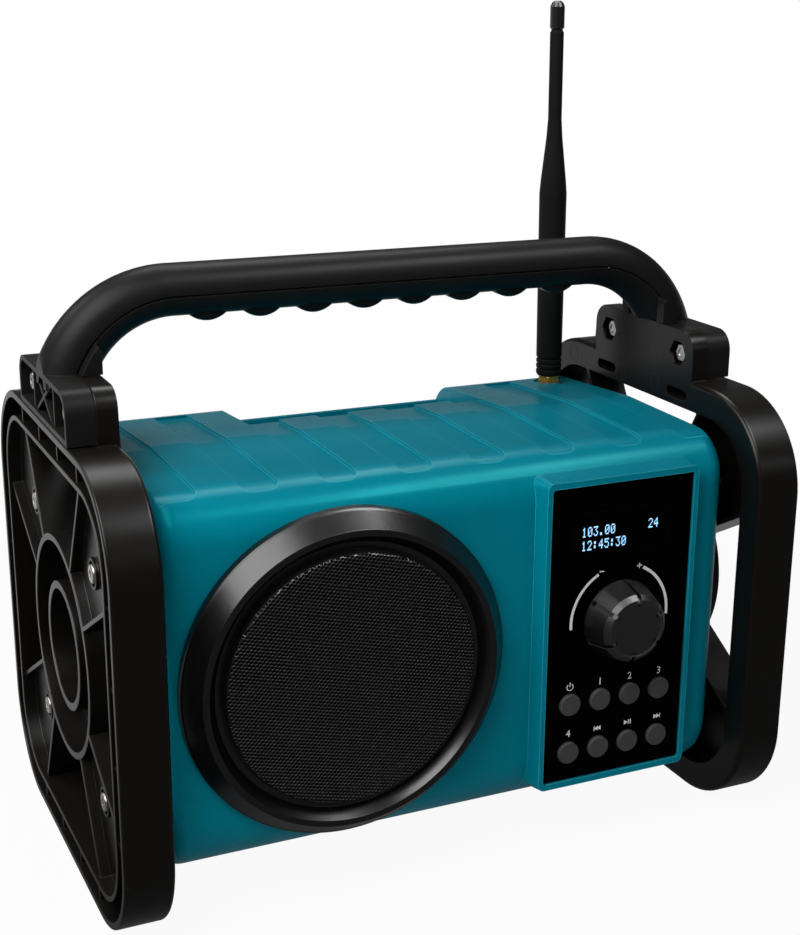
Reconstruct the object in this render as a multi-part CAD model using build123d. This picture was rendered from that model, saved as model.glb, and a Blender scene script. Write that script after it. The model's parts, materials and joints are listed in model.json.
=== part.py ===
from build123d import *
import math
import os

os.makedirs("parts", exist_ok=True)

# A portable work-site radio. Millimetres. X runs from the left guard to the right
# guard, -Y is the front with the speaker, +Z is up and Z = 0 is the ground.

# --- driving sizes ------------------------------------------------------------
overall_width = 300.0
guard_thickness = 20.3
guard_depth = 193.4
guard_height = 191.8
guard_corner = 41.0
body_end_gap = 2.5
body_depth = 150.0
body_centre_y = -2.0
body_bottom = 18.0
ridge_under_guard = 13.6
top_front_drop = 1.0
top_rear_drop = 5.2
wall = 3.0
rear_shell_depth = 18.0
ear_height = 21.7
seam_from_outside = 11.6
handle_height = 50.2
grip_r = 10.7
foot_r = 12.0
bend_r = 46.3
speaker_from_end = 97.6
speaker_above_middle = 3.1
panel_from_end = 80.0
panel_proud = 7.9
antenna_from_end = 42.5
antenna_from_back = 25.5
antenna_lean = -0.6
touch_gap = 0.2

# --- sizes that follow ----------------------------------------------------------
half_width = overall_width / 2
guard_in = half_width - guard_thickness
body_half = guard_in - body_end_gap
seam_x = half_width - seam_from_outside
mid_z = guard_height / 2
ridge_z = guard_height - ridge_under_guard
ear_top = guard_height + ear_height
handle_z = guard_height + handle_height
body_front = body_centre_y - body_depth / 2
body_back = body_centre_y + body_depth / 2
split_y = body_back - rear_shell_depth
speaker_x = speaker_from_end - half_width
speaker_z = mid_z + speaker_above_middle
panel_x = half_width - panel_from_end
panel_front = body_front - panel_proud
antenna_x = half_width - antenna_from_end
antenna_y = body_back - antenna_from_back


# --- shape helpers ----------------------------------------------------------------
def along_x(sketch, x0, x1):
    return extrude(Plane.YZ.offset(x0) * sketch, amount=x1 - x0)


def along_y(sketch, y0, y1):
    return extrude(Plane.XZ.offset(-y1) * sketch, amount=y1 - y0)


def along_z(sketch, z0, z1):
    return extrude(Plane.XY.offset(z0) * sketch, amount=z1 - z0)


def rod_x(r, y, z, x0, x1):
    return along_x(Pos(y, z) * Circle(r), x0, x1)


def rod_y(r, x, z, y0, y1):
    return along_y(Pos(x, z) * Circle(r), y0, y1)


def rod_z(r, x, y, z0, z1):
    return along_z(Pos(x, y) * Circle(r), z0, z1)


def block(x0, x1, y0, y1, z0, z1):
    middle = Pos((x0 + x1) / 2, (y0 + y1) / 2, (z0 + z1) / 2)
    return middle * Box(x1 - x0, y1 - y0, z1 - z0)


def plate(x0, x1, z0, z1, r):
    return Pos((x0 + x1) / 2, (z0 + z1) / 2) * RectangleRounded(x1 - x0, z1 - z0, r)


def polygon(points):
    return make_face(Polyline(*points, close=True))


def turned_y(points, x, z):
    """Turn a (radius, y) outline about a line along Y."""
    return Pos(x, 0, z) * revolve(polygon(points), Axis.Y)


def turned_z(points):
    """Turn a (radius, z) outline about the Z axis."""
    return revolve(Plane.XZ * polygon(points), Axis.Z)


def joined(shapes):
    total = shapes[0]
    for shape in shapes[1:]:
        total = total + shape
    return total


def near_x(shape, x, tolerance=0.01):
    """Edges that lie flat in the plane at x."""
    found = []
    for edge in shape.edges():
        box = edge.bounding_box()
        if abs(box.min.X - x) < tolerance and abs(box.max.X - x) < tolerance:
            found.append(edge)
    return found


def save(name, shape):
    export_step(shape, "parts/" + name + ".step")
    print("saved", name)


def save_group(name, solids):
    """Write several loose solids, such as a set of screws, as one node."""
    loose = []
    for shape in solids:
        loose.extend(shape.solids())
    save(name, Compound(children=loose))


# --- body section: flat front, ridge along the top, every long edge rounded ---------
top_front_r = 20.0
top_rear_r = 19.5
bottom_r = 25.0
ridge_r = 1.5
end_r = 9.0


def body_section(inset):
    corners = [
        (body_front, body_bottom),
        (body_back, body_bottom),
        (body_back, ridge_z - top_rear_drop),
        (body_centre_y, ridge_z),
        (body_front, ridge_z - top_front_drop),
    ]
    face = polygon(corners)
    rounding = [
        (corners[0], bottom_r),
        (corners[1], bottom_r),
        (corners[2], top_rear_r),
        (corners[3], ridge_r),
        (corners[4], top_front_r),
    ]
    for (y, z), r in rounding:
        close = [v for v in face.vertices() if abs(v.X - y) < 0.01 and abs(v.Y - z) < 0.01]
        face = fillet(close, r)
    if inset > 0:
        face = offset(face, amount=-inset)
    return face


def body_block(inset):
    half = body_half - inset
    solid = along_x(body_section(inset), -half, half)
    ends = near_x(solid, -half) + near_x(solid, half)
    return fillet(ends, end_r - inset)


outer_block = body_block(0)
inner_block = body_block(wall)

# Raised strips run front to back over the top; the strips between are 1.2 mm lower.
strip_pitch = 32.9
strip_width = 17.4
strip_count = 7
strip_step = 1.2
strip_front_y = body_front + 10.0
strip_corner = 4.5
low_front_edge = body_front - 5


def low_strips():
    """Plan outlines of the lower strips between the raised ones."""
    first = -strip_pitch * (strip_count - 1) / 2
    centres = [first + strip_pitch * k for k in range(strip_count)]
    strips = []
    left = -body_half - 5
    for centre in centres + [body_half + 5 + strip_width / 2]:
        right = centre - strip_width / 2
        length = split_y - strip_front_y + 10
        middle = Pos((left + right) / 2, strip_front_y + length / 2)
        strips.append(middle * RectangleRounded(right - left, length, strip_corner))
        left = centre + strip_width / 2
    return strips


# --- rear well in the top, between two of the raised strips --------------------------
well_half = strip_pitch * 2 - strip_width / 2
well_front = body_back - 48.5
well_back = body_back - 5.0
well_floor = ridge_z - 20.2
rail_top = well_floor + 7.0

well_cut = block(-well_half, well_half, well_front, well_back, well_floor, ridge_z + 20)
well_skin = block(
    -well_half - wall, well_half + wall, well_front - wall, body_back,
    well_floor - wall, ridge_z + 20,
)
rail_cut = block(-well_half, well_half, well_back - 1, body_back + 5, rail_top, ridge_z + 20)

# --- speaker seat and control pedestal on the front ----------------------------------
seat_r = 68.0
seat_depth = 3.0
speaker_hole_r = 54.0
seat_front = body_front - seat_depth
flange_front = body_front + wall + 1.5
flange_r = 62.0
basket_throat = 34.0
basket_depth = 28.0
cone_r = 43.0
cone_depth = 18.0
coil_r = 12.0

panel_width = 73.0
panel_bottom = body_bottom + 12.0
panel_top = ridge_z - 10.2
panel_corner = 3.0
pedestal_back = body_front + 11.0
pedestal_draft = math.radians(9)
rim_side = 2.2
rim_end = 2.75
window_bottom = panel_bottom + rim_end
window_top = panel_top - rim_end
window_half = panel_width / 2 - rim_side
window_corner = 1.5
plate_recess = 1.0
plate_thickness = 2.0
ledge = 3.4
plate_front = panel_front + plate_recess
plate_back = plate_front + plate_thickness
board_front = body_front + 4.0
board_thickness = 1.6

# --- fastener places ------------------------------------------------------------------
screw_spread_y = split_y - 5.5
screw_spread_z = 48.5
guard_screw_places = []
for side_y in (-1, 1):
    for side_z in (-1, 1):
        guard_screw_places.append((side_y * screw_spread_y, mid_z + side_z * screw_spread_z))
shank_r = 2.0
clearance_r = 2.2
thread_hole_r = 2.05
end_boss_r = 5.0
end_boss_depth = 16.0

case_screw_x = body_half - 7.7
case_screw_low = mid_z - 55.9
case_screw_high = mid_z + 56.1
case_screw_foot = (34.0, body_bottom + 13.0)
case_screw_places = []
for side in (-1, 1):
    case_screw_places.append((side * case_screw_x, case_screw_low))
    case_screw_places.append((side * case_screw_x, case_screw_high))
    case_screw_places.append((side * case_screw_foot[0], case_screw_foot[1]))
case_boss_r = 4.5
case_boss_front = split_y - 47.0
case_shank_r = 1.5
case_hole_r = 1.55
case_head_r = 3.0


def parting_outline(inset):
    """Outline of the shell where front and rear meet, with the well's step in it."""
    low = body_bottom + bottom_r - math.sqrt(bottom_r**2 - (split_y - body_back + bottom_r)**2)
    high = ridge_z - top_rear_drop * (split_y - body_centre_y) / (body_depth / 2)
    outline = polygon([
        (-body_half, low),
        (body_half, low),
        (body_half, high),
        (well_half, high),
        (well_half, well_floor),
        (-well_half, well_floor),
        (-well_half, high),
        (-body_half, high),
    ])
    corners = [v for v in outline.vertices() if abs(v.X) > body_half - 1]
    outline = fillet(corners, end_r)
    return offset(outline, amount=-inset, kind=Kind.INTERSECTION)


seal_inset = 1.5
seal_width = 1.0
seal_depth = 1.0
seal_ring = parting_outline(seal_inset) - parting_outline(seal_inset + seal_width)

shell = outer_block - inner_block
shell = shell + (outer_block & well_skin)
shell = shell - well_cut - rail_cut

# --- front shell --------------------------------------------------------------------------
front_half = block(-body_half - 9, body_half + 9, body_front - 9, split_y, -9, ridge_z + 9)
front_shell = shell & front_half

strip_cutter = along_x(body_section(0) - body_section(strip_step), -body_half, body_half)
for outline in low_strips():
    strip = along_z(outline, mid_z, ridge_z + 9)
    front_shell = front_shell - (strip_cutter & strip)

seat = turned_y(
    [(0, flange_front), (seat_r - 4, flange_front), (seat_r, body_front + wall),
     (seat_r, seat_front), (0, seat_front)],
    speaker_x, speaker_z,
)
pedestal_spread = (pedestal_back - panel_front) * math.tan(pedestal_draft)
pedestal_rise = pedestal_spread / 2
pedestal = loft([
    Plane.XZ.offset(-panel_front) * plate(
        panel_x - panel_width / 2, panel_x + panel_width / 2,
        panel_bottom, panel_top, panel_corner),
    Plane.XZ.offset(-pedestal_back) * plate(
        panel_x - panel_width / 2 - pedestal_spread, panel_x + panel_width / 2 + pedestal_spread,
        panel_bottom - pedestal_spread, panel_top + pedestal_rise, panel_corner + 2),
])
front_shell = front_shell + seat + pedestal
front_shell = front_shell - rod_y(
    speaker_hole_r, speaker_x, speaker_z, seat_front - 1, flange_front + 1)
front_shell = front_shell - along_y(
    plate(panel_x - window_half, panel_x + window_half, window_bottom, window_top, window_corner),
    panel_front - 1, plate_back)
front_shell = front_shell - along_y(
    plate(panel_x - window_half + ledge, panel_x + window_half - ledge,
          window_bottom + ledge, window_top - ledge, window_corner),
    plate_back - 1, pedestal_back + 1)

for y, z in guard_screw_places:
    for side in (-1, 1):
        near = side * (body_half - end_boss_depth)
        far = side * (body_half - 0.5)
        front_shell = front_shell + rod_x(end_boss_r, y, z, min(near, far), max(near, far))
        near = side * (body_half - end_boss_depth + 1)
        far = side * (body_half + 1)
        front_shell = front_shell - rod_x(thread_hole_r, y, z, min(near, far), max(near, far))

for x, z in case_screw_places:
    post = rod_y(case_boss_r, x, z, case_boss_front, split_y) & outer_block
    if z < body_bottom + bottom_r:
        post = post + block(x - wall / 2, x + wall / 2, case_boss_front, split_y,
                            body_bottom + wall - 1, z)
    front_shell = front_shell + post
    front_shell = front_shell - rod_y(case_hole_r, x, z, case_boss_front + 4, split_y + 1)

driver_screw_ring = 58.6
driver_screw_places = []
for k in range(4):
    angle = math.radians(45 + 90 * k)
    driver_screw_places.append((
        speaker_x + driver_screw_ring * math.cos(angle),
        speaker_z + driver_screw_ring * math.sin(angle),
    ))
for x, z in driver_screw_places:
    front_shell = front_shell - rod_y(case_hole_r, x, z, seat_front + 2, flange_front + 1)

antenna_seat_z = ridge_z - 5.2
antenna_seat_r = 7.4
jack_r = 3.1
front_shell = front_shell + rod_z(
    antenna_seat_r, antenna_x, antenna_y, antenna_seat_z - 6, antenna_seat_z)
front_shell = front_shell - rod_z(
    antenna_seat_r, antenna_x, antenna_y, antenna_seat_z, ridge_z + 9)
front_shell = front_shell - rod_z(
    jack_r, antenna_x, antenna_y, antenna_seat_z - 12, antenna_seat_z + 1)
seal = along_y(seal_ring, split_y - seal_depth, split_y + seal_depth)
front_shell = front_shell - seal
save("front_shell", front_shell)
save("shell_seal", seal)

# --- rear shell -------------------------------------------------------------------------------
rear_half = block(-body_half - 9, body_half + 9, split_y, body_back + 9, -9, ridge_z + 9)
rear_shell = shell & rear_half
rear_inside = body_back - wall

door_half = 52.0
door_height = 62.0
door_bottom = mid_z - 45.9
door_top = door_bottom + door_height
door_gap = 0.4
board_width = 47.0
board_height = 110.0
board_right = half_width - 41.0
board_left = board_right - board_width
board_bottom = mid_z - 55.9
board_top = board_bottom + board_height
main_board_y = split_y + 1.0
post_inset = 5.0
post_r = 3.2
board_posts = [
    (board_left + post_inset, board_bottom + post_inset),
    (board_right - post_inset, board_bottom + post_inset),
    (board_left + post_inset, board_top - post_inset),
    (board_right - post_inset, board_top - post_inset),
]
socket_z = mid_z - 19.9
dc_place = (board_left + 18.0, socket_z)
aux_place = (board_left + 34.0, socket_z)
dc_hole_r = 4.2
aux_hole_r = 3.6

for x, z in case_screw_places:
    post = rod_y(case_boss_r, x, z, split_y, rear_inside + 1) & outer_block
    rear_shell = rear_shell + post
for x, z in board_posts:
    start = main_board_y + board_thickness
    rear_shell = rear_shell + rod_y(post_r, x, z, start, rear_inside + 1)
for x, z in case_screw_places:
    rear_shell = rear_shell - rod_y(case_hole_r + 0.2, x, z, split_y - 1, body_back + 1)
    rear_shell = rear_shell - rod_y(case_head_r + 0.3, x, z, body_back - 8, body_back + 1)
for x, z in board_posts:
    rear_shell = rear_shell - rod_y(case_hole_r, x, z, main_board_y, rear_inside)
rear_shell = rear_shell - block(
    -door_half, door_half, rear_inside - 5, body_back + 1, door_bottom - door_gap, door_top)
rear_shell = rear_shell - rod_y(dc_hole_r, *dc_place, rear_inside - 1, body_back + 1)
rear_shell = rear_shell - rod_y(aux_hole_r, *aux_place, rear_inside - 1, body_back + 1)
rear_shell = rear_shell - seal

door_leaf_back = body_back - wall + touch_gap
hinge_r = (body_back - door_leaf_back) / 2
hinge_y = body_back - hinge_r
hinge_z = door_bottom + hinge_r
pin_r = 0.8
pin_fit = 0.06
pin_reach = 3.0
rear_shell = rear_shell - rod_x(pin_r, hinge_y, hinge_z,
                                -door_half - pin_reach, door_half + pin_reach)
save("rear_shell", rear_shell)

case_screws = []
for x, z in case_screw_places:
    head_back = body_back - 8
    screw = rod_y(case_head_r, x, z, head_back, head_back + 2.2)
    screw = screw + rod_y(case_shank_r, x, z, split_y - 16, head_back)
    screw = screw - rod_y(1.2, x, z, head_back + 1, head_back + 3)
    case_screws.append(screw)
save_group("case_screws", case_screws)

# --- battery door, its hinge pins, tray, pack and contacts --------------------------------------
leaf_half = door_half - door_gap
door = block(-leaf_half, leaf_half, door_leaf_back, body_back, hinge_z, door_top - door_gap)
door = door + rod_x(hinge_r, hinge_y, hinge_z, -leaf_half, leaf_half)
for k in range(5):
    rib_z = hinge_z + 14 + 7 * k
    door = door - block(-leaf_half + 12, leaf_half - 12, body_back - 0.8, body_back + 1,
                        rib_z - 1, rib_z + 1)
door = door - rod_y(7.0, 0, door_top - 2, body_back - 1.4, body_back + 1)
door = door - rod_x(pin_r + pin_fit, hinge_y, hinge_z, -leaf_half - 1, -leaf_half + pin_reach)
door = door - rod_x(pin_r + pin_fit, hinge_y, hinge_z, leaf_half - pin_reach, leaf_half + 1)
save("battery_door", door)

pins = []
for side in (-1, 1):
    near = side * (leaf_half - pin_reach + 0.3)
    far = side * (door_half + pin_reach - 0.1)
    pins.append(rod_x(pin_r - 0.01, hinge_y, hinge_z, min(near, far), max(near, far)))
save_group("door_pins", pins)

tray_wall = 2.0
tray_depth = 48.0
tray_front = rear_inside - tray_depth
tray_half = door_half + 1.0
tray_low = door_bottom - 1.6
tray_high = door_top + 2.0
tray = block(-tray_half, tray_half, tray_front, rear_inside, tray_low, tray_high)
tray = tray - block(-tray_half + tray_wall, tray_half - tray_wall, tray_front + tray_wall,
                    rear_inside + 1, tray_low + tray_wall, tray_high - tray_wall)
save("battery_tray", tray)

pack_gap = 2.0
pack_half = tray_half - tray_wall - 4.0
pack_front = tray_front + tray_wall + 3.0
pack_low = tray_low + tray_wall + pack_gap
pack_high = tray_high - tray_wall - pack_gap
pack = block(-pack_half, pack_half, pack_front, rear_inside - 3, pack_low, pack_high)
pack = fillet(pack.edges(), 3.0)
save("battery_pack", pack)

contacts = []
for k in range(3):
    x = -20.0 + 20.0 * k
    leaf = block(x - 4, x + 4, tray_front + tray_wall, pack_front, mid_z - 22, mid_z - 20.6)
    foot = block(x - 4, x + 4, tray_front + tray_wall, tray_front + tray_wall + 0.8,
                 mid_z - 22, mid_z - 8)
    contacts.append(leaf + foot)
save_group("battery_contacts", contacts)

# --- main board and what stands on it --------------------------------------------------------------
main_board = block(board_left, board_right, main_board_y, main_board_y + board_thickness,
                   board_bottom, board_top)
for x, z in board_posts:
    main_board = main_board - rod_y(case_shank_r + 0.1, x, z, main_board_y - 1, main_board_y + 3)
save("main_board", main_board)

board_screws = []
for x, z in board_posts:
    screw = rod_y(2.6, x, z, main_board_y - 1.8, main_board_y)
    screw = screw + rod_y(case_shank_r - 0.05, x, z, main_board_y, main_board_y + 9)
    board_screws.append(screw)
save_group("board_screws", board_screws)

can_width = 28.0
can_height = 34.0
can_depth = 6.0
can_left = board_left + 8.0
can_bottom = board_bottom + 60.0
can = block(can_left, can_left + can_width, main_board_y - can_depth, main_board_y,
            can_bottom, can_bottom + can_height)
can = fillet(can.edges().filter_by(Axis.Y), 1.5)
save("tuner_can", can)

sink_width = 32.0
sink_height = 16.0
sink_base = 4.0
sink_fin = 14.0
fin_count = 6
fin_thick = 1.6
sink_left = board_left + 10.0
sink_bottom = board_bottom + 10.0
fin_pitch = (sink_width - fin_thick) / (fin_count - 1)
sink = block(sink_left, sink_left + sink_width, main_board_y - sink_base, main_board_y,
             sink_bottom, sink_bottom + sink_height)
for k in range(fin_count):
    fin_x = sink_left + fin_pitch * k
    sink = sink + block(fin_x, fin_x + fin_thick, main_board_y - sink_base - sink_fin,
                        main_board_y - sink_base / 2, sink_bottom, sink_bottom + sink_height)
save("amplifier_sink", sink)

capacitor_r = 5.0
capacitor_length = 14.0
capacitor_z = board_bottom + 46.0
capacitors = []
for k in range(3):
    x = can_left + 14.0 * k
    capacitors.append(rod_y(capacitor_r, x, capacitor_z,
                            main_board_y - capacitor_length, main_board_y))
save_group("capacitors", capacitors)

socket_front = main_board_y + board_thickness
dc = block(dc_place[0] - 5.5, dc_place[0] + 5.5, socket_front, rear_inside,
           dc_place[1] - 5.5, dc_place[1] + 5.5)
dc = dc - rod_y(3.2, *dc_place, rear_inside - 9, rear_inside + 1)
dc = dc + rod_y(1.05, *dc_place, rear_inside - 9.5, rear_inside - 1)
save("dc_socket", dc)
aux = block(aux_place[0] - 4.0, aux_place[0] + 4.0, socket_front, rear_inside,
            aux_place[1] - 4.5, aux_place[1] + 4.5)
aux = aux + rod_y(aux_hole_r - 0.1, *aux_place, rear_inside - 1, body_back - 0.5)
aux = aux - rod_y(1.8, *aux_place, rear_inside - 11, body_back)
save("aux_socket", aux)

# --- rubber flap over the sockets ---------------------------------------------------------------------
flap_half = 15.0
flap_x = (dc_place[0] + aux_place[0]) / 2
flap_bottom = socket_z - 14.0
flap_top = socket_z + 12.0
flap_thick = 2.2
flap_pivot_r = 0.6
flap_ear = 2.6
flap_axis_y = body_back + touch_gap + flap_thick / 2
flap_axis_z = flap_bottom + flap_thick / 2
flap = block(flap_x - flap_half, flap_x + flap_half, body_back + touch_gap,
             body_back + touch_gap + flap_thick, flap_axis_z, flap_top)
flap = fillet(flap.edges().filter_by(Axis.Y).sort_by(Axis.Z)[-2:], 4.0)
flap = flap + rod_x(flap_thick / 2, flap_axis_y, flap_axis_z,
                    flap_x - flap_half, flap_x + flap_half)
flap = flap + rod_x(flap_pivot_r, flap_axis_y, flap_axis_z,
                    flap_x - flap_half - flap_ear + 0.4, flap_x + flap_half + flap_ear - 0.4)
flap = flap + block(flap_x - 6, flap_x + 6, body_back + touch_gap,
                    body_back + touch_gap + flap_thick, flap_top - 1, flap_top + 3)
save("socket_flap", flap)
ear_outside = flap_half + flap_ear
anchor_back = body_back + touch_gap + flap_thick
anchor = block(flap_x - ear_outside, flap_x + ear_outside, body_back, anchor_back,
               flap_bottom - 5.4, flap_axis_z + 1.3)
anchor = fillet(anchor.edges().filter_by(Axis.Y), 1.2)
anchor = anchor - block(flap_x - flap_half - 0.3, flap_x + flap_half + 0.3, body_back,
                        anchor_back + 1, flap_bottom - 0.8, flap_axis_z + 3)
anchor = anchor - rod_x(flap_pivot_r + pin_fit, flap_axis_y, flap_axis_z,
                        flap_x - ear_outside - 1, flap_x + ear_outside + 1)
save("flap_anchor", anchor)

# --- guards ------------------------------------------------------------------------------------------------
ring_width = 13.3
band_wall = 3.2
inner_wall = 2.3
guard_floor = 3.0
guard_edge_r = 2.2
rim_edge_r = 0.9
channel_rib = 1.6
channel_rib_drop = 1.4
channel_rib_places = (-48.0, -16.0, 16.0, 48.0)
hub_r = 47.5
hub_wall = 3.0
hub_drop = 2.0
hub_floor_from = 3.0
hub_floor_thick = 3.0
bore_r = 24.0
bore_wall = 3.5
bore_drop = 3.0
strut_low_angle = 29.0
strut_high_angle = 60.0
strut_rib = 2.0
strut_plate_from = 10.8
strut_plate_thick = 3.0
boss_r = 5.6
head_r = 4.0
head_seat_r = 5.0
ear_half = 41.5
ear_corner = 9.0
bolt_y = 29.2
bolt_z = ear_top - 11.0
nut_flats = 7.0
nut_thick = 3.2
nut_recess = 2.0
pocket_flats = 10.4
slot_y = 30.0
slot_z = guard_height - 7.6
slot_length = 16.0
slot_height = 4.4


def ring_outline(inset):
    return Pos(0, mid_z) * RectangleRounded(
        guard_depth - 2 * inset, guard_height - 2 * inset, guard_corner - inset)


def hub_disc(r):
    return Pos(0, mid_z) * Circle(r)


def hexagon(flats):
    return RegularPolygon(flats / math.sqrt(3), 6)


def build_guard():
    """The guard at the +X end; the other one is its mirror image."""
    solid = along_x(ring_outline(0), guard_in, half_width)
    solid = fillet(near_x(solid, guard_in), guard_edge_r)
    solid = fillet(near_x(solid, half_width), rim_edge_r)
    solid = solid - along_x(ring_outline(band_wall), guard_in + guard_floor, half_width + 1)
    solid = solid - along_x(ring_outline(ring_width), guard_in - 1, half_width + 1)
    lip = ring_outline(ring_width - inner_wall) - ring_outline(ring_width)
    solid = solid + along_x(lip, guard_in, half_width - 0.4)

    channel = ring_outline(band_wall - 0.4) - ring_outline(ring_width - inner_wall + 0.4)
    strips = []
    for place in channel_rib_places:
        strips.append(Pos(place, mid_z) * Rectangle(channel_rib, guard_height))
        strips.append(Pos(0, mid_z + place) * Rectangle(guard_depth, channel_rib))
    for strip in strips:
        ribs = along_x(strip & channel, guard_in + 1, half_width - channel_rib_drop)
        solid = solid + ribs

    hub = along_x(hub_disc(hub_r) - hub_disc(hub_r - hub_wall), guard_in, half_width - hub_drop)
    hub = hub + along_x(hub_disc(hub_r - 1) - hub_disc(bore_r + 1),
                        guard_in + hub_floor_from, guard_in + hub_floor_from + hub_floor_thick)
    hub = hub + along_x(hub_disc(bore_r + bore_wall) - hub_disc(bore_r),
                        guard_in, half_width - bore_drop)
    solid = solid + hub

    space = ring_outline(ring_width - 1) - hub_disc(hub_r - 1)
    for quarter in range(4):
        if quarter % 2 == 0:
            low = 90 * quarter + strut_low_angle
            high = 90 * quarter + strut_high_angle
        else:
            low = 90 * quarter + 90 - strut_high_angle
            high = 90 * quarter + 90 - strut_low_angle
        reach = guard_depth
        wedge = polygon([
            (0, mid_z),
            (reach * math.cos(math.radians(low)), mid_z + reach * math.sin(math.radians(low))),
            (reach * math.cos(math.radians(high)), mid_z + reach * math.sin(math.radians(high))),
        ])
        solid = solid + along_x(wedge & space, guard_in + strut_plate_from,
                                guard_in + strut_plate_from + strut_plate_thick)
        for angle in (low, high):
            beam = Pos(0, mid_z) * Rot(0, 0, angle) * Pos(reach / 2, 0) * Rectangle(reach, strut_rib)
            solid = solid + along_x(beam & space, guard_in, half_width - hub_drop)

    ear_sketch = Pos(0, (guard_height - ring_width + ear_top) / 2) * Rectangle(
        2 * ear_half, ear_top - guard_height + ring_width)
    ear = along_x(ear_sketch, guard_in, seam_x)
    ear = fillet(ear.edges().filter_by(Axis.X).sort_by(Axis.Z)[-2:], ear_corner)
    solid = solid + ear

    head_seat = guard_in + strut_plate_from + strut_plate_thick
    for y, z in guard_screw_places:
        solid = solid + rod_x(boss_r, y, z, body_half, head_seat)
        solid = solid - rod_x(clearance_r, y, z, body_half - 1, head_seat + 1)
        solid = solid + (rod_x(head_seat_r + 1.4, y, z, head_seat - 1, head_seat + 1.6)
                         - rod_x(head_seat_r, y, z, head_seat - 2, head_seat + 2))
    for side in (-1, 1):
        solid = solid - rod_x(shank_r + 0.15, side * bolt_y, bolt_z, guard_in - 1, seam_x + 1)
        solid = solid - along_x(Pos(side * bolt_y, bolt_z) * hexagon(pocket_flats),
                                guard_in - 1, guard_in + nut_recess + nut_thick)
        solid = solid - along_x(Pos(side * slot_y, slot_z) * SlotOverall(slot_length, slot_height),
                                guard_in - 1, seam_x + 1)
    return solid


guard_right = build_guard()
guard_left = mirror(guard_right, about=Plane.YZ)
save("guard_right", guard_right)
save("guard_left", guard_left)

guard_head_seat = guard_in + strut_plate_from + strut_plate_thick
guard_head = 2.2
guard_screw_length = guard_head_seat - body_half + 13.0
guard_screws = []
for y, z in guard_screw_places:
    screw = rod_x(head_r, y, z, guard_head_seat, guard_head_seat + guard_head)
    screw = fillet(screw.edges().filter_by(GeomType.CIRCLE).sort_by(Axis.X)[-1:], 1.0)
    screw = screw + rod_x(shank_r, y, z, guard_head_seat - guard_screw_length, guard_head_seat)
    screw = screw - along_x(Pos(y, z) * hexagon(3.2), guard_head_seat + 0.9, guard_head_seat + 3)
    guard_screws.append(screw)
    guard_screws.append(mirror(screw, about=Plane.YZ))
save_group("guard_screws", guard_screws)

# --- carrying handle: outer half with its two ribbed feet, inner half under it ----------------------------
tube_wall = 2.5
bend_x = half_width - 53.5
bend_z = handle_z - bend_r
tube_end_angle = 12.0
parting_drop = 1.5
parting_gap = 0.2
foot_gap = 0.6
foot_top = ear_top - 0.5
foot_half = 41.0
foot_wall = 2.2
foot_floor = 3.0
foot_rib = 1.5
foot_rib_y = 17.5
foot_boss_r = 5.2
foot_boss_height = 6.6
bump_count = 8
bump_pitch = 23.2
bump_r = 12.0
bump_drop = 2.6
bump_length = 10.0
seam_groove_width = 0.6
seam_groove_depth = 0.9


def bend_point(angle, side):
    turn = math.radians(angle)
    return (side * (bend_x + bend_r * math.cos(turn)), 0, bend_z + bend_r * math.sin(turn))


def handle_bar(grip, foot, side):
    """Half of the bar on one side: straight to the bend, then down to the foot."""
    straight = rod_x(grip, 0, handle_z, min(0, side * bend_x), max(0, side * bend_x))
    halfway = (90 + tube_end_angle) / 2
    arc = ThreePointArc(bend_point(90, side), bend_point(halfway, side),
                        bend_point(tube_end_angle, side))
    start = Plane(origin=arc @ 0, z_dir=arc % 0)
    end = Plane(origin=arc @ 1, z_dir=arc % 1)
    bend = sweep(sections=[start * Circle(grip), end * Circle(foot)], path=arc, multisection=True)
    return straight + bend


def full_bar(shrink):
    left = handle_bar(grip_r - shrink, foot_r - shrink, -1)
    right = handle_bar(grip_r - shrink, foot_r - shrink, 1)
    return left + right


bar = full_bar(0) - full_bar(tube_wall)
parting_r = bend_r - parting_drop
under = Pos(0, bend_z + parting_r / 2) * Rectangle(2 * bend_x, parting_r)
under = under + Pos(bend_x, bend_z) * Circle(parting_r) + Pos(-bend_x, bend_z) * Circle(parting_r)
under_side = along_y(under, -30, 30)

lower_bar = bar & along_y(offset(under, amount=-parting_gap), -30, 30)
# A narrow shadow groove runs along the outside, just above the parting line.
groove_band = along_y(offset(under, amount=seam_groove_width) - under, -30, 30)
seam_groove = (full_bar(-0.2) - full_bar(seam_groove_depth)) & groove_band
upper_bar = bar - under_side - seam_groove

bumps = []
for k in range(bump_count):
    x = bump_pitch * (k - (bump_count - 1) / 2)
    bump_z = handle_z - grip_r - bump_drop + bump_r
    bump = rod_y(bump_r, x, bump_z, -bump_length / 2, bump_length / 2)
    bump = fillet(bump.edges().filter_by(GeomType.CIRCLE), 3.0)
    bumps.append(bump & block(x - bump_r, x + bump_r, -grip_r, grip_r,
                              bump_z - bump_r, handle_z - grip_r + 3))
hollow = full_bar(tube_wall)
lower_half = lower_bar
for bump in bumps:
    lower_half = lower_half + (bump - hollow)

web_reach = 9.4
web_half = 17.5
web_outline = [
    (seam_x, ear_top), (seam_x - web_reach, ear_top), (seam_x - web_reach, ear_top + 9),
    (seam_x - web_reach + 5, ear_top + 18), (seam_x, ear_top + 10),
]
for side in (-1, 1):
    web = along_y(polygon([(side * x, z) for x, z in web_outline]), -web_half, web_half)
    scoop = rod_z(web_half - 4, side * (seam_x - web_reach - 6), 0, ear_top - 1, ear_top + 30)
    web = (web & along_y(offset(under, amount=-parting_gap), -30, 30)) - scoop - hollow
    lower_half = lower_half + web
lower_half = lower_half - block(-half_width, half_width, -40, 40, 0, ear_top + touch_gap)
save("handle_inner_half", lower_half)

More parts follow.
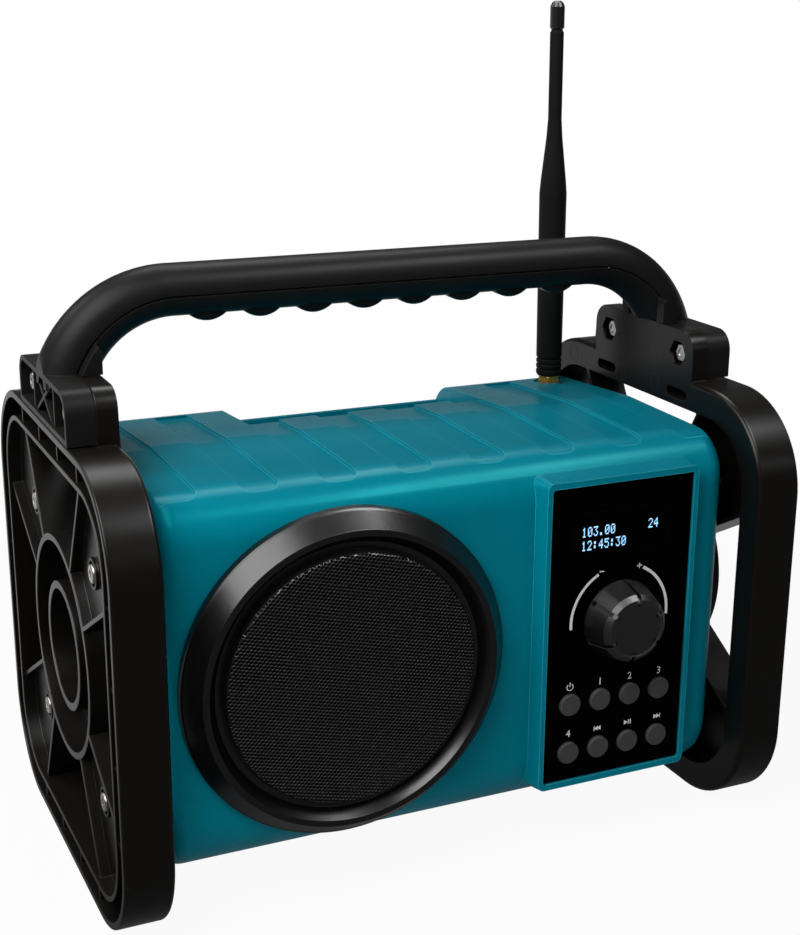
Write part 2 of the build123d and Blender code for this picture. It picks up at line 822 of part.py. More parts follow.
upper_half = upper_bar & block(-half_width, half_width, -40, 40, ear_top, handle_z + 40)
for side in (-1, 1):
    foot_low = guard_height + foot_gap
    foot = along_x(Pos(0, (foot_low + foot_top) / 2) * Rectangle(2 * foot_half, foot_top - foot_low),
                   seam_x, half_width)
    foot = fillet(foot.edges().filter_by(Axis.X).sort_by(Axis.Z)[-2:], ear_corner)
    hollow_sketch = Pos(0, (foot_low + foot_top) / 2) * Rectangle(
        2 * (foot_half - foot_wall), foot_top - foot_low - 2 * foot_wall)
    pocket = along_x(hollow_sketch, seam_x + foot_floor, half_width + 1)
    pocket = fillet(pocket.edges().filter_by(Axis.X).sort_by(Axis.Z)[-2:], ear_corner - foot_wall)
    foot = foot - pocket
    inside = along_x(hollow_sketch, seam_x, half_width - 1.0)
    width = 2 * foot_rib_y
    height = foot_top - foot_low
    slant = math.degrees(math.atan2(height, width))
    for angle in (slant, -slant):
        cross = Pos(0, (foot_low + foot_top) / 2) * Rot(0, 0, angle) * Rectangle(
            math.hypot(width, height), foot_rib)
        foot = foot + (along_x(cross, seam_x, half_width - 1.0) & inside)
    for rib_side in (-1, 1):
        upright = Pos(rib_side * foot_rib_y, (foot_low + foot_top) / 2) * Rectangle(foot_rib, height)
        foot = foot + (along_x(upright, seam_x, half_width - 1.0) & inside)
        foot = foot + rod_x(foot_boss_r, rib_side * bolt_y, bolt_z, seam_x, seam_x + foot_boss_height)
    stub = full_bar(0) & block(seam_x + 1, half_width - 0.3, -40, 40, foot_low + 4, ear_top)
    hollow_stub = full_bar(tube_wall) & block(0, half_width, -40, 40, 0, ear_top)
    foot = foot + (stub - hollow_stub)
    join = (full_bar(0) - full_bar(tube_wall) - under_side) & block(
        seam_x, half_width, -40, 40, foot_top - 0.5, ear_top + 0.5)
    foot = foot + join
    for bolt_side in (-1, 1):
        foot = foot - rod_x(shank_r + 0.15, bolt_side * bolt_y, bolt_z, seam_x - 1, half_width)
    if side < 0:
        foot = mirror(foot, about=Plane.YZ)
    upper_half = upper_half + foot
upper_half = upper_half & block(-half_width, half_width, -60, 60, 0, handle_z + 40)
save("handle_outer_half", upper_half)

bolts = []
nuts = []
bolt_head_seat = seam_x + foot_boss_height
for side in (-1, 1):
    head = rod_x(3.8, side * bolt_y, bolt_z, bolt_head_seat, bolt_head_seat + 2.6)
    head = fillet(head.edges().filter_by(GeomType.CIRCLE).sort_by(Axis.X)[-1:], 1.2)
    bolt = head + rod_x(shank_r, side * bolt_y, bolt_z, guard_in + nut_recess + 0.4, bolt_head_seat)
    bolt = bolt - along_x(Pos(side * bolt_y, bolt_z) * hexagon(3.0),
                          bolt_head_seat + 1.0, bolt_head_seat + 4)
    nut = along_x(Pos(side * bolt_y, bolt_z) * hexagon(nut_flats),
                  guard_in + nut_recess, guard_in + nut_recess + nut_thick)
    nut = nut - rod_x(shank_r + 0.02, side * bolt_y, bolt_z, guard_in, seam_x)
    bolts.extend([bolt, mirror(bolt, about=Plane.YZ)])
    nuts.extend([nut, mirror(nut, about=Plane.YZ)])
save_group("handle_bolts", bolts)
save_group("handle_nuts", nuts)

# --- speaker: trim ring, grille and driver ---------------------------------------------------------------------
ring_back = seat_front
grille_back = ring_back - 2.4
skirt_foot = body_front - 0.1
ring_points = [
    (53.4, grille_back - 1.5), (56.3, grille_back - 1.5),
    (59.8, ring_back - 8.5), (62.3, ring_back - 8.5), (67.9, ring_back - 1.5),
    (69.0, ring_back - 0.7), (69.2, skirt_foot), (seat_r + 0.2, skirt_foot),
    (seat_r + 0.2, ring_back), (57.0, ring_back), (57.0, grille_back), (53.4, grille_back),
]
save("speaker_ring", turned_y(ring_points, speaker_x, speaker_z))

grille_points = [
    (0, grille_back - 6.2), (18, grille_back - 6.1), (36, grille_back - 5.9),
    (49.8, grille_back - 5.6), (51.3, grille_back - 5.2), (52.3, grille_back - 4.2),
    (52.8, grille_back - 2.8), (52.8, grille_back + 0.1), (56.8, grille_back + 0.1),
    (56.8, ring_back), (56.0, ring_back), (56.0, grille_back + 0.9), (52.0, grille_back + 0.9),
    (52.0, grille_back - 2.7), (51.6, grille_back - 3.8), (50.8, grille_back - 4.5),
    (49.5, grille_back - 4.8), (36, grille_back - 5.1), (18, grille_back - 5.3),
    (0, grille_back - 5.4),
]
save("speaker_grille", turned_y(grille_points, speaker_x, speaker_z))

flange_thick = 2.5
basket_back = flange_front + basket_depth
basket_points = [
    (flange_r, flange_front), (flange_r, flange_front + flange_thick),
    (flange_r - 10, flange_front + flange_thick), (basket_throat, basket_back - 4),
    (basket_throat, basket_back), (coil_r + 4, basket_back), (coil_r + 4, basket_back - 2),
    (basket_throat - 3, basket_back - 2.5), (basket_throat - 3, basket_back - 5),
    (flange_r - 13, flange_front + 1.5), (flange_r - 13, flange_front),
]
basket = turned_y(basket_points, speaker_x, speaker_z)
for x, z in driver_screw_places:
    basket = basket - rod_y(case_hole_r + 0.2, x, z, flange_front - 1, flange_front + 4)
save("speaker_basket", basket)

surround_points = [
    (cone_r - 1, flange_front + 1.7), (cone_r - 1, flange_front + 0.9),
    (cone_r + 1.5, flange_front - 1.0), (cone_r + 4.3, flange_front - 1.8),
    (cone_r + 7, flange_front - 1.0), (cone_r + 8.5, flange_front - 0.8),
    (cone_r + 10.5, flange_front - 0.8), (cone_r + 10.5, flange_front),
    (cone_r + 7.8, flange_front), (cone_r + 6.3, flange_front - 0.2),
    (cone_r + 4.3, flange_front - 0.9), (cone_r + 2.3, flange_front - 0.2),
    (cone_r + 0.2, flange_front + 1.7),
]
save("speaker_surround", turned_y(surround_points, speaker_x, speaker_z))

cone_front = flange_front + 1.8
paper = 0.8
cone_points = [
    (cone_r, cone_front), (cone_r, cone_front + paper),
    (coil_r, cone_front + cone_depth + paper), (coil_r, cone_front + cone_depth),
]
save("speaker_cone", turned_y(cone_points, speaker_x, speaker_z))

cap_back = cone_front + cone_depth - 0.3
cap_points = [
    (0, cap_back - 6.3), (coil_r * 0.6, cap_back - 5.1), (coil_r + 0.2, cap_back - 1.1),
    (coil_r + 0.2, cap_back), (coil_r * 0.6, cap_back - 4.1), (0, cap_back - 5.3),
]
save("speaker_dust_cap", turned_y(cap_points, speaker_x, speaker_z))

magnet_r = 36.0
magnet_depth = 12.0
pole_front = 3.0
pole_back = 4.0
magnet_front = basket_back + pole_front
magnet_back = magnet_front + magnet_depth
magnet = rod_y(magnet_r - 6, speaker_x, speaker_z, basket_back, magnet_front)
magnet = magnet + rod_y(magnet_r, speaker_x, speaker_z, magnet_front, magnet_back)
magnet = magnet + rod_y(magnet_r - 5, speaker_x, speaker_z, magnet_back, magnet_back + pole_back)
save("speaker_magnet", magnet)

driver_screws = []
for x, z in driver_screw_places:
    head_front = flange_front + flange_thick
    screw = rod_y(2.8, x, z, head_front, head_front + 2)
    screw = screw + rod_y(case_shank_r, x, z, seat_front + 2.5, head_front)
    driver_screws.append(screw)
save_group("speaker_screws", driver_screws)

# --- control panel -------------------------------------------------------------------------------------------------
plate_gap = 0.2
button_pitch_x = 14.8
button_rows = (panel_bottom + 38.2, panel_bottom + 15.8)
button_r = 4.9
button_hole_r = 5.1
button_flange_r = 6.3
button_travel = 1.0
button_proud = 1.5
button_rest = 0.2
knob_x = panel_x + 0.3
knob_z = panel_bottom + 74.3
encoder_hole_r = 5.0
display_high = panel_top - 15.0
display_low = display_high - 19.0
display_half = 23.0
post_side = 26.0
post_low = sum(button_rows) / 2
post_high = display_low - 4.5
post_places = [(-post_side, post_low), (post_side, post_low),
               (-post_side, post_high), (post_side, post_high)]
post_outer_r = 2.5

button_places = []
for row_z in button_rows:
    for column in range(4):
        button_places.append((panel_x + (column - 1.5) * button_pitch_x, row_z))

face = along_y(
    plate(panel_x - window_half + plate_gap, panel_x + window_half - plate_gap,
          window_bottom + plate_gap, window_top - plate_gap, window_corner),
    plate_front, plate_back)
for x, z in button_places:
    face = face - rod_y(button_hole_r, x, z, plate_front - 1, plate_back + 1)
face = face - rod_y(encoder_hole_r, knob_x, knob_z, plate_front - 1, plate_back + 1)
face = face - block(panel_x - display_half, panel_x + display_half, plate_front - 1,
                    plate_back + 1, display_low, display_high)
for dx, z in post_places:
    post = rod_y(post_outer_r, panel_x + dx, z, plate_back - 0.5, board_front)
    face = face + post
    face = face - rod_y(0.95, panel_x + dx, z, plate_back + 1, board_front + 1)
save("panel_face", face)

lens = block(panel_x - display_half, panel_x + display_half, plate_front, plate_back,
             display_low, display_high)
save("display_window", lens)
display = block(panel_x - display_half - 1.5, panel_x + display_half + 1.5,
                plate_back, plate_back + 2.2, display_low - 1.5, display_high + 1.5)
display = display + block(panel_x - 12, panel_x + 12, plate_back + 2.2, board_front,
                          display_low + 4, display_high - 4)
save("display_module", display)

board_half = window_half - ledge - 1.5
control_board = block(panel_x - board_half, panel_x + board_half, board_front,
                      board_front + board_thickness, window_bottom + ledge + 3.4,
                      window_top - ledge - 4.4)
for dx, z in post_places:
    control_board = control_board - rod_y(1.1, panel_x + dx, z, board_front - 1, board_front + 3)
save("control_board", control_board)

panel_screws = []
for dx, z in post_places:
    screw = rod_y(2.0, panel_x + dx, z, board_front + board_thickness,
                  board_front + board_thickness + 1.4)
    screw = screw + rod_y(0.9, panel_x + dx, z, board_front - 6, board_front + board_thickness)
    panel_screws.append(screw)
save_group("panel_screws", panel_screws)

button_back = plate_back + 2.0
switch_tip = button_back + button_travel + 0.95
switches = []
for x, z in button_places:
    switch = block(x - 3, x + 3, board_front - 3.5, board_front, z - 3, z + 3)
    switch = switch + rod_y(1.6, x, z, switch_tip, board_front - 3)
    switches.append(switch)
save_group("button_switches", switches)

names = ["top_1", "top_2", "top_3", "top_4", "low_1", "low_2", "low_3", "low_4"]
for name, (x, z) in zip(names, button_places):
    cap = rod_y(button_r, x, z, plate_front - button_proud, button_back)
    cap = fillet(cap.edges().filter_by(GeomType.CIRCLE).sort_by(Axis.Y)[:1], 0.5)
    cap = cap + rod_y(button_flange_r, x, z, plate_back + button_rest, button_back)
    cap = cap + rod_y(1.5, x, z, button_back, button_back + 0.8)
    save("button_" + name, cap)

# --- turning and pressing knob on its encoder -------------------------------------------------------------------------
knob_base_r = 17.5
knob_front_r = 14.7
knob_face_r = 12.9
knob_base = plate_front - 1.0
knob_front = knob_base - 13.8
knob_shoulder = knob_front + 1.8
knob_travel = 0.7
groove_count = 6
groove_turn = 26.6
groove_width = 1.3
groove_depth = 1.1
shaft_r = 3.0
shaft_fit = 0.05

knob_points = [
    (knob_base_r, knob_base), (knob_front_r, knob_shoulder), (knob_face_r, knob_front),
    (0, knob_front), (0, knob_front + 2.2), (shaft_r + 0.02, knob_front + 2.2),
    (shaft_r + 0.02, knob_base - 1.2), (shaft_r + 2.5, knob_base - 1.2),
    (shaft_r + 2.5, knob_front + 4.5), (knob_front_r - 2.2, knob_front + 4.5),
    (knob_base_r - 2.4, knob_base),
]
knob = turned_y(knob_points, 0, 0)
groove_outline = polygon([
    (knob_base_r - groove_depth, knob_base + 1), (knob_base_r + 5, knob_base + 1),
    (knob_base_r + 5, knob_front - 1), (knob_front_r - groove_depth - 0.3, knob_front - 1),
])
groove = Pos(0, 0, -groove_width / 2) * extrude(groove_outline, amount=groove_width)
for k in range(groove_count):
    knob = knob - Rot(0, -(groove_turn + 360 / groove_count * k), 0) * groove
save("volume_knob", Pos(knob_x, 0, knob_z) * knob)

slider_front = board_front - 2.4
shaft = rod_y(shaft_r, knob_x, knob_z, knob_front + 2.3, slider_front)
save("encoder_shaft", shaft)
slider = rod_y(4.0, knob_x, knob_z, slider_front, slider_front + 1.4)
save("encoder_slider", slider)
encoder = block(knob_x - 6.3, knob_x + 6.3, plate_back + 2.2, board_front,
                knob_z - 6.3, knob_z + 6.3)
encoder = encoder + rod_y(4.6, knob_x, knob_z, plate_back - 1.2, plate_back + 3)
encoder = encoder - rod_y(shaft_r + shaft_fit, knob_x, knob_z, plate_front - 3, board_front)
encoder = encoder - rod_y(4.2, knob_x, knob_z, slider_front - 0.6, board_front + 1)
save("encoder_body", encoder)

# --- antenna: jack in the shell, brass plug nut, rubber whip and its cap -------------------------------------------------
plug_bottom = 0.3
plug_top = 5.0
hex_flats = 9.6
whip_base_r = 6.2
whip_r = 6.5
upper_r = 3.2
cap_bottom = 168.0
cap_top = 180.6
cap_r = 3.35
cap_groove = 1.2
thread_fit = 0.08
lean = Pos(antenna_x, antenna_y, antenna_seat_z) * Rot(0, antenna_lean, 0)

nut = along_z(RegularPolygon(hex_flats / math.sqrt(3), 6), plug_bottom, plug_top)
nut = nut & turned_z([(0, plug_bottom), (4.9, plug_bottom), (5.6, plug_bottom + 0.7),
                      (5.6, plug_top - 0.7), (4.9, plug_top), (0, plug_top)])
nut = nut - rod_z(jack_r + thread_fit, 0, 0, plug_bottom - 1, plug_top + 1)
save("antenna_nut", lean * nut)

ring_low = plug_top + 1.2
ring_pitch = 2.6
whip_points = [(0, plug_top + 3.5), (jack_r + 0.4, plug_top + 3.5), (jack_r + 0.4, plug_top),
               (whip_base_r - 0.6, plug_top)]
for k in range(3):
    z = ring_low + ring_pitch * k
    whip_points.extend([(whip_base_r, z), (whip_base_r, z + 1.5),
                        (whip_base_r - 0.7, z + 1.7), (whip_base_r - 0.7, z + 2.4)])
whip_points.extend([
    (whip_base_r, 14.2), (whip_base_r + 0.1, 40), (whip_r, 93), (whip_r - 0.5, 99),
    (whip_r - 1.6, 109), (whip_r - 2.7, 119), (upper_r, 127.5), (upper_r, cap_bottom - 1.2),
    (upper_r - 0.5, cap_bottom - 0.9), (upper_r - 0.5, cap_bottom), (0, cap_bottom),
])
save("antenna_whip", lean * turned_z(whip_points))
save("antenna_cap", lean * turned_z([
    (0, cap_bottom), (cap_r - cap_groove / 2, cap_bottom), (cap_r, cap_bottom + 0.6),
    (cap_r, cap_top - 2.6), (cap_r - 0.8, cap_top - 0.8), (cap_r - 2.0, cap_top), (0, cap_top),
]))
core = rod_z(1.1, 0, 0, plug_top - 3, plug_top + 3.4)
save("antenna_pin", lean * core)

jack = rod_z(jack_r - 0.05, antenna_x, antenna_y, antenna_seat_z - 11, antenna_seat_z + 4.2)
jack = jack - rod_z(1.5, antenna_x, antenna_y, antenna_seat_z + 1, antenna_seat_z + 6)
jack = jack + rod_z(5.2, antenna_x, antenna_y, antenna_seat_z - 11, antenna_seat_z - 8)
save("antenna_jack", jack)
jack_nut = along_z(Pos(antenna_x, antenna_y) * RegularPolygon(8.0 / math.sqrt(3), 6),
                   antenna_seat_z - 8, antenna_seat_z - 6)
jack_nut = jack_nut - rod_z(jack_r, antenna_x, antenna_y, antenna_seat_z - 12, antenna_seat_z)
save("jack_nut", jack_nut)
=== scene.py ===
import json
from math import radians, pi, sqrt, atan2

import bpy
import bmesh
from mathutils import Matrix, Vector


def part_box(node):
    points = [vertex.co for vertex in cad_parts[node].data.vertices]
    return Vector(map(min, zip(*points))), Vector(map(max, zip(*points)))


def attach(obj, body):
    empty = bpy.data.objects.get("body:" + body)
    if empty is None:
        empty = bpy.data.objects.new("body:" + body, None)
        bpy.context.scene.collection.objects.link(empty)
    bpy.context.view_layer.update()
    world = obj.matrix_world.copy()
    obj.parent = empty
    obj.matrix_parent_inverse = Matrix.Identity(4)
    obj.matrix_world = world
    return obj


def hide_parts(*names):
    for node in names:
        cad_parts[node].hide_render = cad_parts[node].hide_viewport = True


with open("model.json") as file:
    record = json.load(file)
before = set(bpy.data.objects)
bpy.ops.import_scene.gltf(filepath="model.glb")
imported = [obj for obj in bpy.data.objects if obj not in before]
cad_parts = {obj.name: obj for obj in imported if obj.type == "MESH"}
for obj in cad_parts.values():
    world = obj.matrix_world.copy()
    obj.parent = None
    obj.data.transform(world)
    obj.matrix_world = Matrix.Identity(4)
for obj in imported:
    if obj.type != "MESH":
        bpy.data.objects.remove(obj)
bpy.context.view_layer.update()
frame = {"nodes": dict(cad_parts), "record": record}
nodes = frame["nodes"]
mm = 0.001
weld = {'turned': 0.00001, 'knob': 0.000005, 'moulded': 0.000002, 'grille': 0.00002}  # merge distances, metres
bodyOf = {}
for bodyName, members in frame["record"]["behaviour"]["bodies"].items():
    for member in members:
        bodyOf[member] = bodyName
print("frame loaded,", len(nodes), "nodes")


# small workshop helpers
def clearSelection():
    if bpy.context.object and bpy.context.object.mode != 'OBJECT':
        bpy.ops.object.mode_set(mode='OBJECT')
    bpy.ops.object.select_all(action='DESELECT')


def pick(piece):
    clearSelection()
    piece.select_set(True)
    bpy.context.view_layer.objects.active = piece


def editAll(piece):
    pick(piece)
    bpy.ops.object.mode_set(mode='EDIT')
    bpy.ops.mesh.select_mode(type='VERT')
    bpy.ops.mesh.select_all(action='SELECT')


def leaveEdit():
    bpy.ops.object.mode_set(mode='OBJECT')


def applyAll(piece):
    pick(piece)
    for modifier in list(piece.modifiers):
        bpy.ops.object.modifier_apply(modifier=modifier.name)


def settle(piece):  # puts the place and turn into the mesh
    pick(piece)
    bpy.ops.object.transform_apply(location=True, rotation=True, scale=True)


def smooth(piece, angle):
    pick(piece)
    bpy.ops.object.shade_smooth_by_angle(angle=radians(angle))


def evenNormals(piece):  # big flats keep their own normal, small bends take the turn
    even = piece.modifiers.new('even', 'WEIGHTED_NORMAL')
    even.keep_sharp = True
    even.weight = 60
    applyAll(piece)


def turnPiece(name, outline, x, z, steps):
    # a circle drawn out ring by ring along (radius, y) points, all in mm
    r0, y0 = outline[0]
    middle = (x * mm, y0 * mm, z * mm)
    clearSelection()
    bpy.ops.mesh.primitive_circle_add(vertices=steps, radius=r0 * mm, fill_type='NOTHING', location=middle,
                                      rotation=(radians(90), 0, 0))
    piece = bpy.context.object
    piece.name = name
    settle(piece)
    editAll(piece)
    for (ra, ya), (rb, yb) in zip(outline, outline[1:]):
        bpy.ops.mesh.extrude_region_move(TRANSFORM_OT_translate={"value": (0, (yb - ya) * mm, 0)})
        share = rb / ra
        bpy.ops.transform.resize(value=(share, 1, share), center_override=(x * mm, yb * mm, z * mm))
    bpy.ops.mesh.select_all(action='SELECT')
    bpy.ops.mesh.remove_doubles(threshold=weld['turned'])
    bpy.ops.mesh.normals_make_consistent(inside=False)
    leaveEdit()
    return piece


def softenEdges(piece, width, segments=3, angle=25):
    bevel = piece.modifiers.new('corner', 'BEVEL')
    bevel.width = width
    bevel.segments = segments
    bevel.limit_method = 'ANGLE'
    bevel.angle_limit = radians(angle)
    applyAll(piece)


def joinPieces(pieces, name):
    clearSelection()
    for one in pieces:
        one.select_set(True)
    bpy.context.view_layer.objects.active = pieces[0]
    bpy.ops.object.join()
    joined = bpy.context.object
    joined.name = name
    return joined


def paint(piece, material):
    piece.data.materials.clear()
    piece.data.materials.append(material)


def deliver(piece, body, material, replaced=()):
    paint(piece, material)
    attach(piece, body)
    if replaced:
        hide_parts(*replaced)


# shader groups shared by several finishes
def newGroup(name, inputs, outputs):
    group = bpy.data.node_groups.new(name, 'ShaderNodeTree')
    for label, start in inputs:
        socket = group.interface.new_socket(name=label, in_out='INPUT', socket_type='NodeSocketFloat')
        socket.default_value = start
    for label in outputs:
        group.interface.new_socket(name=label, in_out='OUTPUT', socket_type='NodeSocketFloat')
    return group, group.nodes.new('NodeGroupInput'), group.nodes.new('NodeGroupOutput')


def addMath(tree, operation, first, second, clamp=False):
    node = tree.nodes.new('ShaderNodeMath')
    node.operation = operation
    node.use_clamp = clamp
    for socket, value in zip(node.inputs, (first, second)):
        if isinstance(value, (int, float)):
            socket.default_value = value
        else:
            tree.links.new(value, socket)
    return node.outputs[0]


def addNoise(tree, scale, detail, rough):
    place = tree.nodes.new('ShaderNodeTexCoord')
    noise = tree.nodes.new('ShaderNodeTexNoise')
    noise.inputs['Detail'].default_value = detail
    noise.inputs['Roughness'].default_value = rough
    tree.links.new(place.outputs['Object'], noise.inputs['Vector'])
    if isinstance(scale, (int, float)):
        noise.inputs['Scale'].default_value = scale
    else:
        tree.links.new(scale, noise.inputs['Scale'])
    return noise.outputs['Fac']


# settings for the grain, the painted edge highlight, the dust and painted glint on up-facing faces, and the metal marks
surface = {'waveScale': 55.0, 'mottleScale': 21.0, 'mottleFloor': 0.35, 'mottleGain': 3.0,
           'highlightSamples': 4, 'highlightBreakScale': 160.0, 'highlightLift': 0.25, 'upPower': 4.0, 'speckScale': 420.0,
           'brushStretch': (0.08, 1.0, 1.0), 'brushDetail': 3.0}


def makeGrainGroup():  # spark-eroded mould grain: fine pits over slow waves
    group, into, out = newGroup('mouldGrain', [('Scale', 2600.0), ('Waves', 0.25)], ['Height', 'Mottle'])
    fine = addNoise(group, into.outputs['Scale'], 2.0, 0.6)
    waves = addNoise(group, surface['waveScale'], 2.0, 0.5)
    shaped = addMath(group, 'MULTIPLY', waves, into.outputs['Waves'])
    group.links.new(addMath(group, 'ADD', fine, shaped), out.inputs['Height'])
    broad = addNoise(group, surface['mottleScale'], 4.0, 0.6)
    low = addMath(group, 'SUBTRACT', broad, surface['mottleFloor'])
    mottle = addMath(group, 'MULTIPLY', low, surface['mottleGain'], True)
    group.links.new(mottle, out.inputs['Mottle'])
    return group


def makeEdgeHighlightGroup():  # painted edge highlight: a lighter colour where corners catch the light, from the bevelled normal against the true one, broken up by noise
    group, into, out = newGroup('edgeRub', [('Width', 0.0007), ('Gain', 6.0)], ['Rub'])
    bevel = group.nodes.new('ShaderNodeBevel')
    bevel.samples = surface['highlightSamples']
    group.links.new(into.outputs['Width'], bevel.inputs['Radius'])
    geometry = group.nodes.new('ShaderNodeNewGeometry')
    dot = group.nodes.new('ShaderNodeVectorMath')
    dot.operation = 'DOT_PRODUCT'
    group.links.new(bevel.outputs[0], dot.inputs[0])
    group.links.new(geometry.outputs['Normal'], dot.inputs[1])
    corner = addMath(group, 'SUBTRACT', 1.0, dot.outputs['Value'])
    strong = addMath(group, 'MULTIPLY', corner, into.outputs['Gain'], True)
    broken = addNoise(group, surface['highlightBreakScale'], 4.0, 0.7)
    lifted = addMath(group, 'ADD', broken, surface['highlightLift'], True)
    group.links.new(addMath(group, 'MULTIPLY', strong, lifted), out.inputs['Rub'])
    return group


def makeDustGroup():  # a thin settling of dust on faces that look up; turned up strong on the grille, the same mask paints a glint on the up-facing hole walls
    group, into, out = newGroup('settledDust', [('Amount', 0.1)], ['Dust'])
    geometry = group.nodes.new('ShaderNodeNewGeometry')
    split = group.nodes.new('ShaderNodeSeparateXYZ')
    group.links.new(geometry.outputs['Normal'], split.inputs[0])
    up = addMath(group, 'MAXIMUM', split.outputs['Z'], 0.0)
    sharp = addMath(group, 'POWER', up, surface['upPower'])
    specks = addNoise(group, surface['speckScale'], 5.0, 0.7)
    thin = addMath(group, 'MULTIPLY', sharp, specks)
    group.links.new(addMath(group, 'MULTIPLY', thin, into.outputs['Amount'], True), out.inputs['Dust'])
    return group


def makeBrushGroup():  # fine turned or rolled marks on metal
    group, into, out = newGroup('brushMarks', [('Scale', 900.0)], ['Height', 'Streak'])
    place = group.nodes.new('ShaderNodeTexCoord')
    stretch = group.nodes.new('ShaderNodeMapping')
    stretch.inputs['Scale'].default_value = surface['brushStretch']
    noise = group.nodes.new('ShaderNodeTexNoise')
    noise.inputs['Detail'].default_value = surface['brushDetail']
    group.links.new(place.outputs['Object'], stretch.inputs['Vector'])
    group.links.new(stretch.outputs[0], noise.inputs['Vector'])
    group.links.new(into.outputs['Scale'], noise.inputs['Scale'])
    group.links.new(noise.outputs['Fac'], out.inputs['Height'])
    group.links.new(noise.outputs['Fac'], out.inputs['Streak'])
    return group


grainGroup = makeGrainGroup()
edgeHighlightGroup = makeEdgeHighlightGroup()
dustAndGlintGroup = makeDustGroup()
brushGroup = makeBrushGroup()


def addGroup(tree, group, settings):
    node = tree.nodes.new('ShaderNodeGroup')
    node.node_tree = group
    for label, value in settings.items():
        node.inputs[label].default_value = value
    return node


def addMix(tree, factor, first, second):
    mix = tree.nodes.new('ShaderNodeMix')
    mix.data_type = 'RGBA'
    tree.links.new(factor, mix.inputs['Factor'])
    for socket, value in ((mix.inputs[6], first), (mix.inputs[7], second)):
        if isinstance(value, tuple):
            socket.default_value = (*value, 1.0)
        else:
            tree.links.new(value, socket)
    return mix.outputs[2]


# defaults; the edge colour is a painted edge highlight, and the dust colour also serves as a painted glint on up-facing
# faces
plainFinish = {
    'color': (0.02, 0.02, 0.02), 'shade': (0.015, 0.015, 0.015), 'edgeHighlight': (0.1, 0.1, 0.1), 'dustAndGlint': (0.3, 0.29, 0.27),
    'rough': 0.4, 'roughSpread': 0.08, 'specular': 0.5, 'tint': (1.0, 1.0, 1.0), 'metallic': 0.0, 'glow': 0.0,
    'grainScale': 2600.0, 'waves': 0.25, 'grainDepth': 0.00003, 'highlightWidth': 0.0007, 'highlightGain': 3.0, 'dustAndGlintAmount': 0.1,
}


def makeFinish(name, changes, metal=False):
    values = dict(plainFinish, **changes)
    material = bpy.data.materials.new(name)
    material.use_nodes = True
    tree = material.node_tree
    shader = tree.nodes['Principled BSDF']
    grain = addGroup(tree, grainGroup, {'Scale': values['grainScale'], 'Waves': values['waves']})
    edgeHighlight = addGroup(tree, edgeHighlightGroup, {'Width': values['highlightWidth'], 'Gain': values['highlightGain']})
    dustAndGlint = addGroup(tree, dustAndGlintGroup, {'Amount': values['dustAndGlintAmount']})
    color = addMix(tree, grain.outputs['Mottle'], values['color'], values['shade'])
    # painted edge highlight: the lighter edge colour mixed in where the corners catch the light
    color = addMix(tree, edgeHighlight.outputs['Rub'], color, values['edgeHighlight'])
    # dust colour on up-facing faces; on the grille it is a painted glint on the hole walls
    color = addMix(tree, dustAndGlint.outputs['Dust'], color, values['dustAndGlint'])
    tree.links.new(color, shader.inputs['Base Color'])
    height, streak = grain.outputs['Height'], grain.outputs['Mottle']
    if metal:
        marks = addGroup(tree, brushGroup, {})
        height, streak = marks.outputs['Height'], marks.outputs['Streak']
    spread = addMath(tree, 'MULTIPLY', streak, values['roughSpread'])
    tree.links.new(addMath(tree, 'ADD', spread, values['rough'], True), shader.inputs['Roughness'])
    bump = tree.nodes.new('ShaderNodeBump')
    bump.inputs['Strength'].default_value = 1.0
    bump.inputs['Distance'].default_value = values['grainDepth']
    tree.links.new(height, bump.inputs['Height'])
    tree.links.new(bump.outputs[0], shader.inputs['Normal'])
    shader.inputs['Metallic'].default_value = values['metallic']
    shader.inputs['Specular IOR Level'].default_value = values['specular']
    shader.inputs['Specular Tint'].default_value = (*values['tint'], 1.0)
    if values['glow']:
        shader.inputs['Emission Color'].default_value = (*values['color'], 1.0)
        shader.inputs['Emission Strength'].default_value = values['glow']
    return material
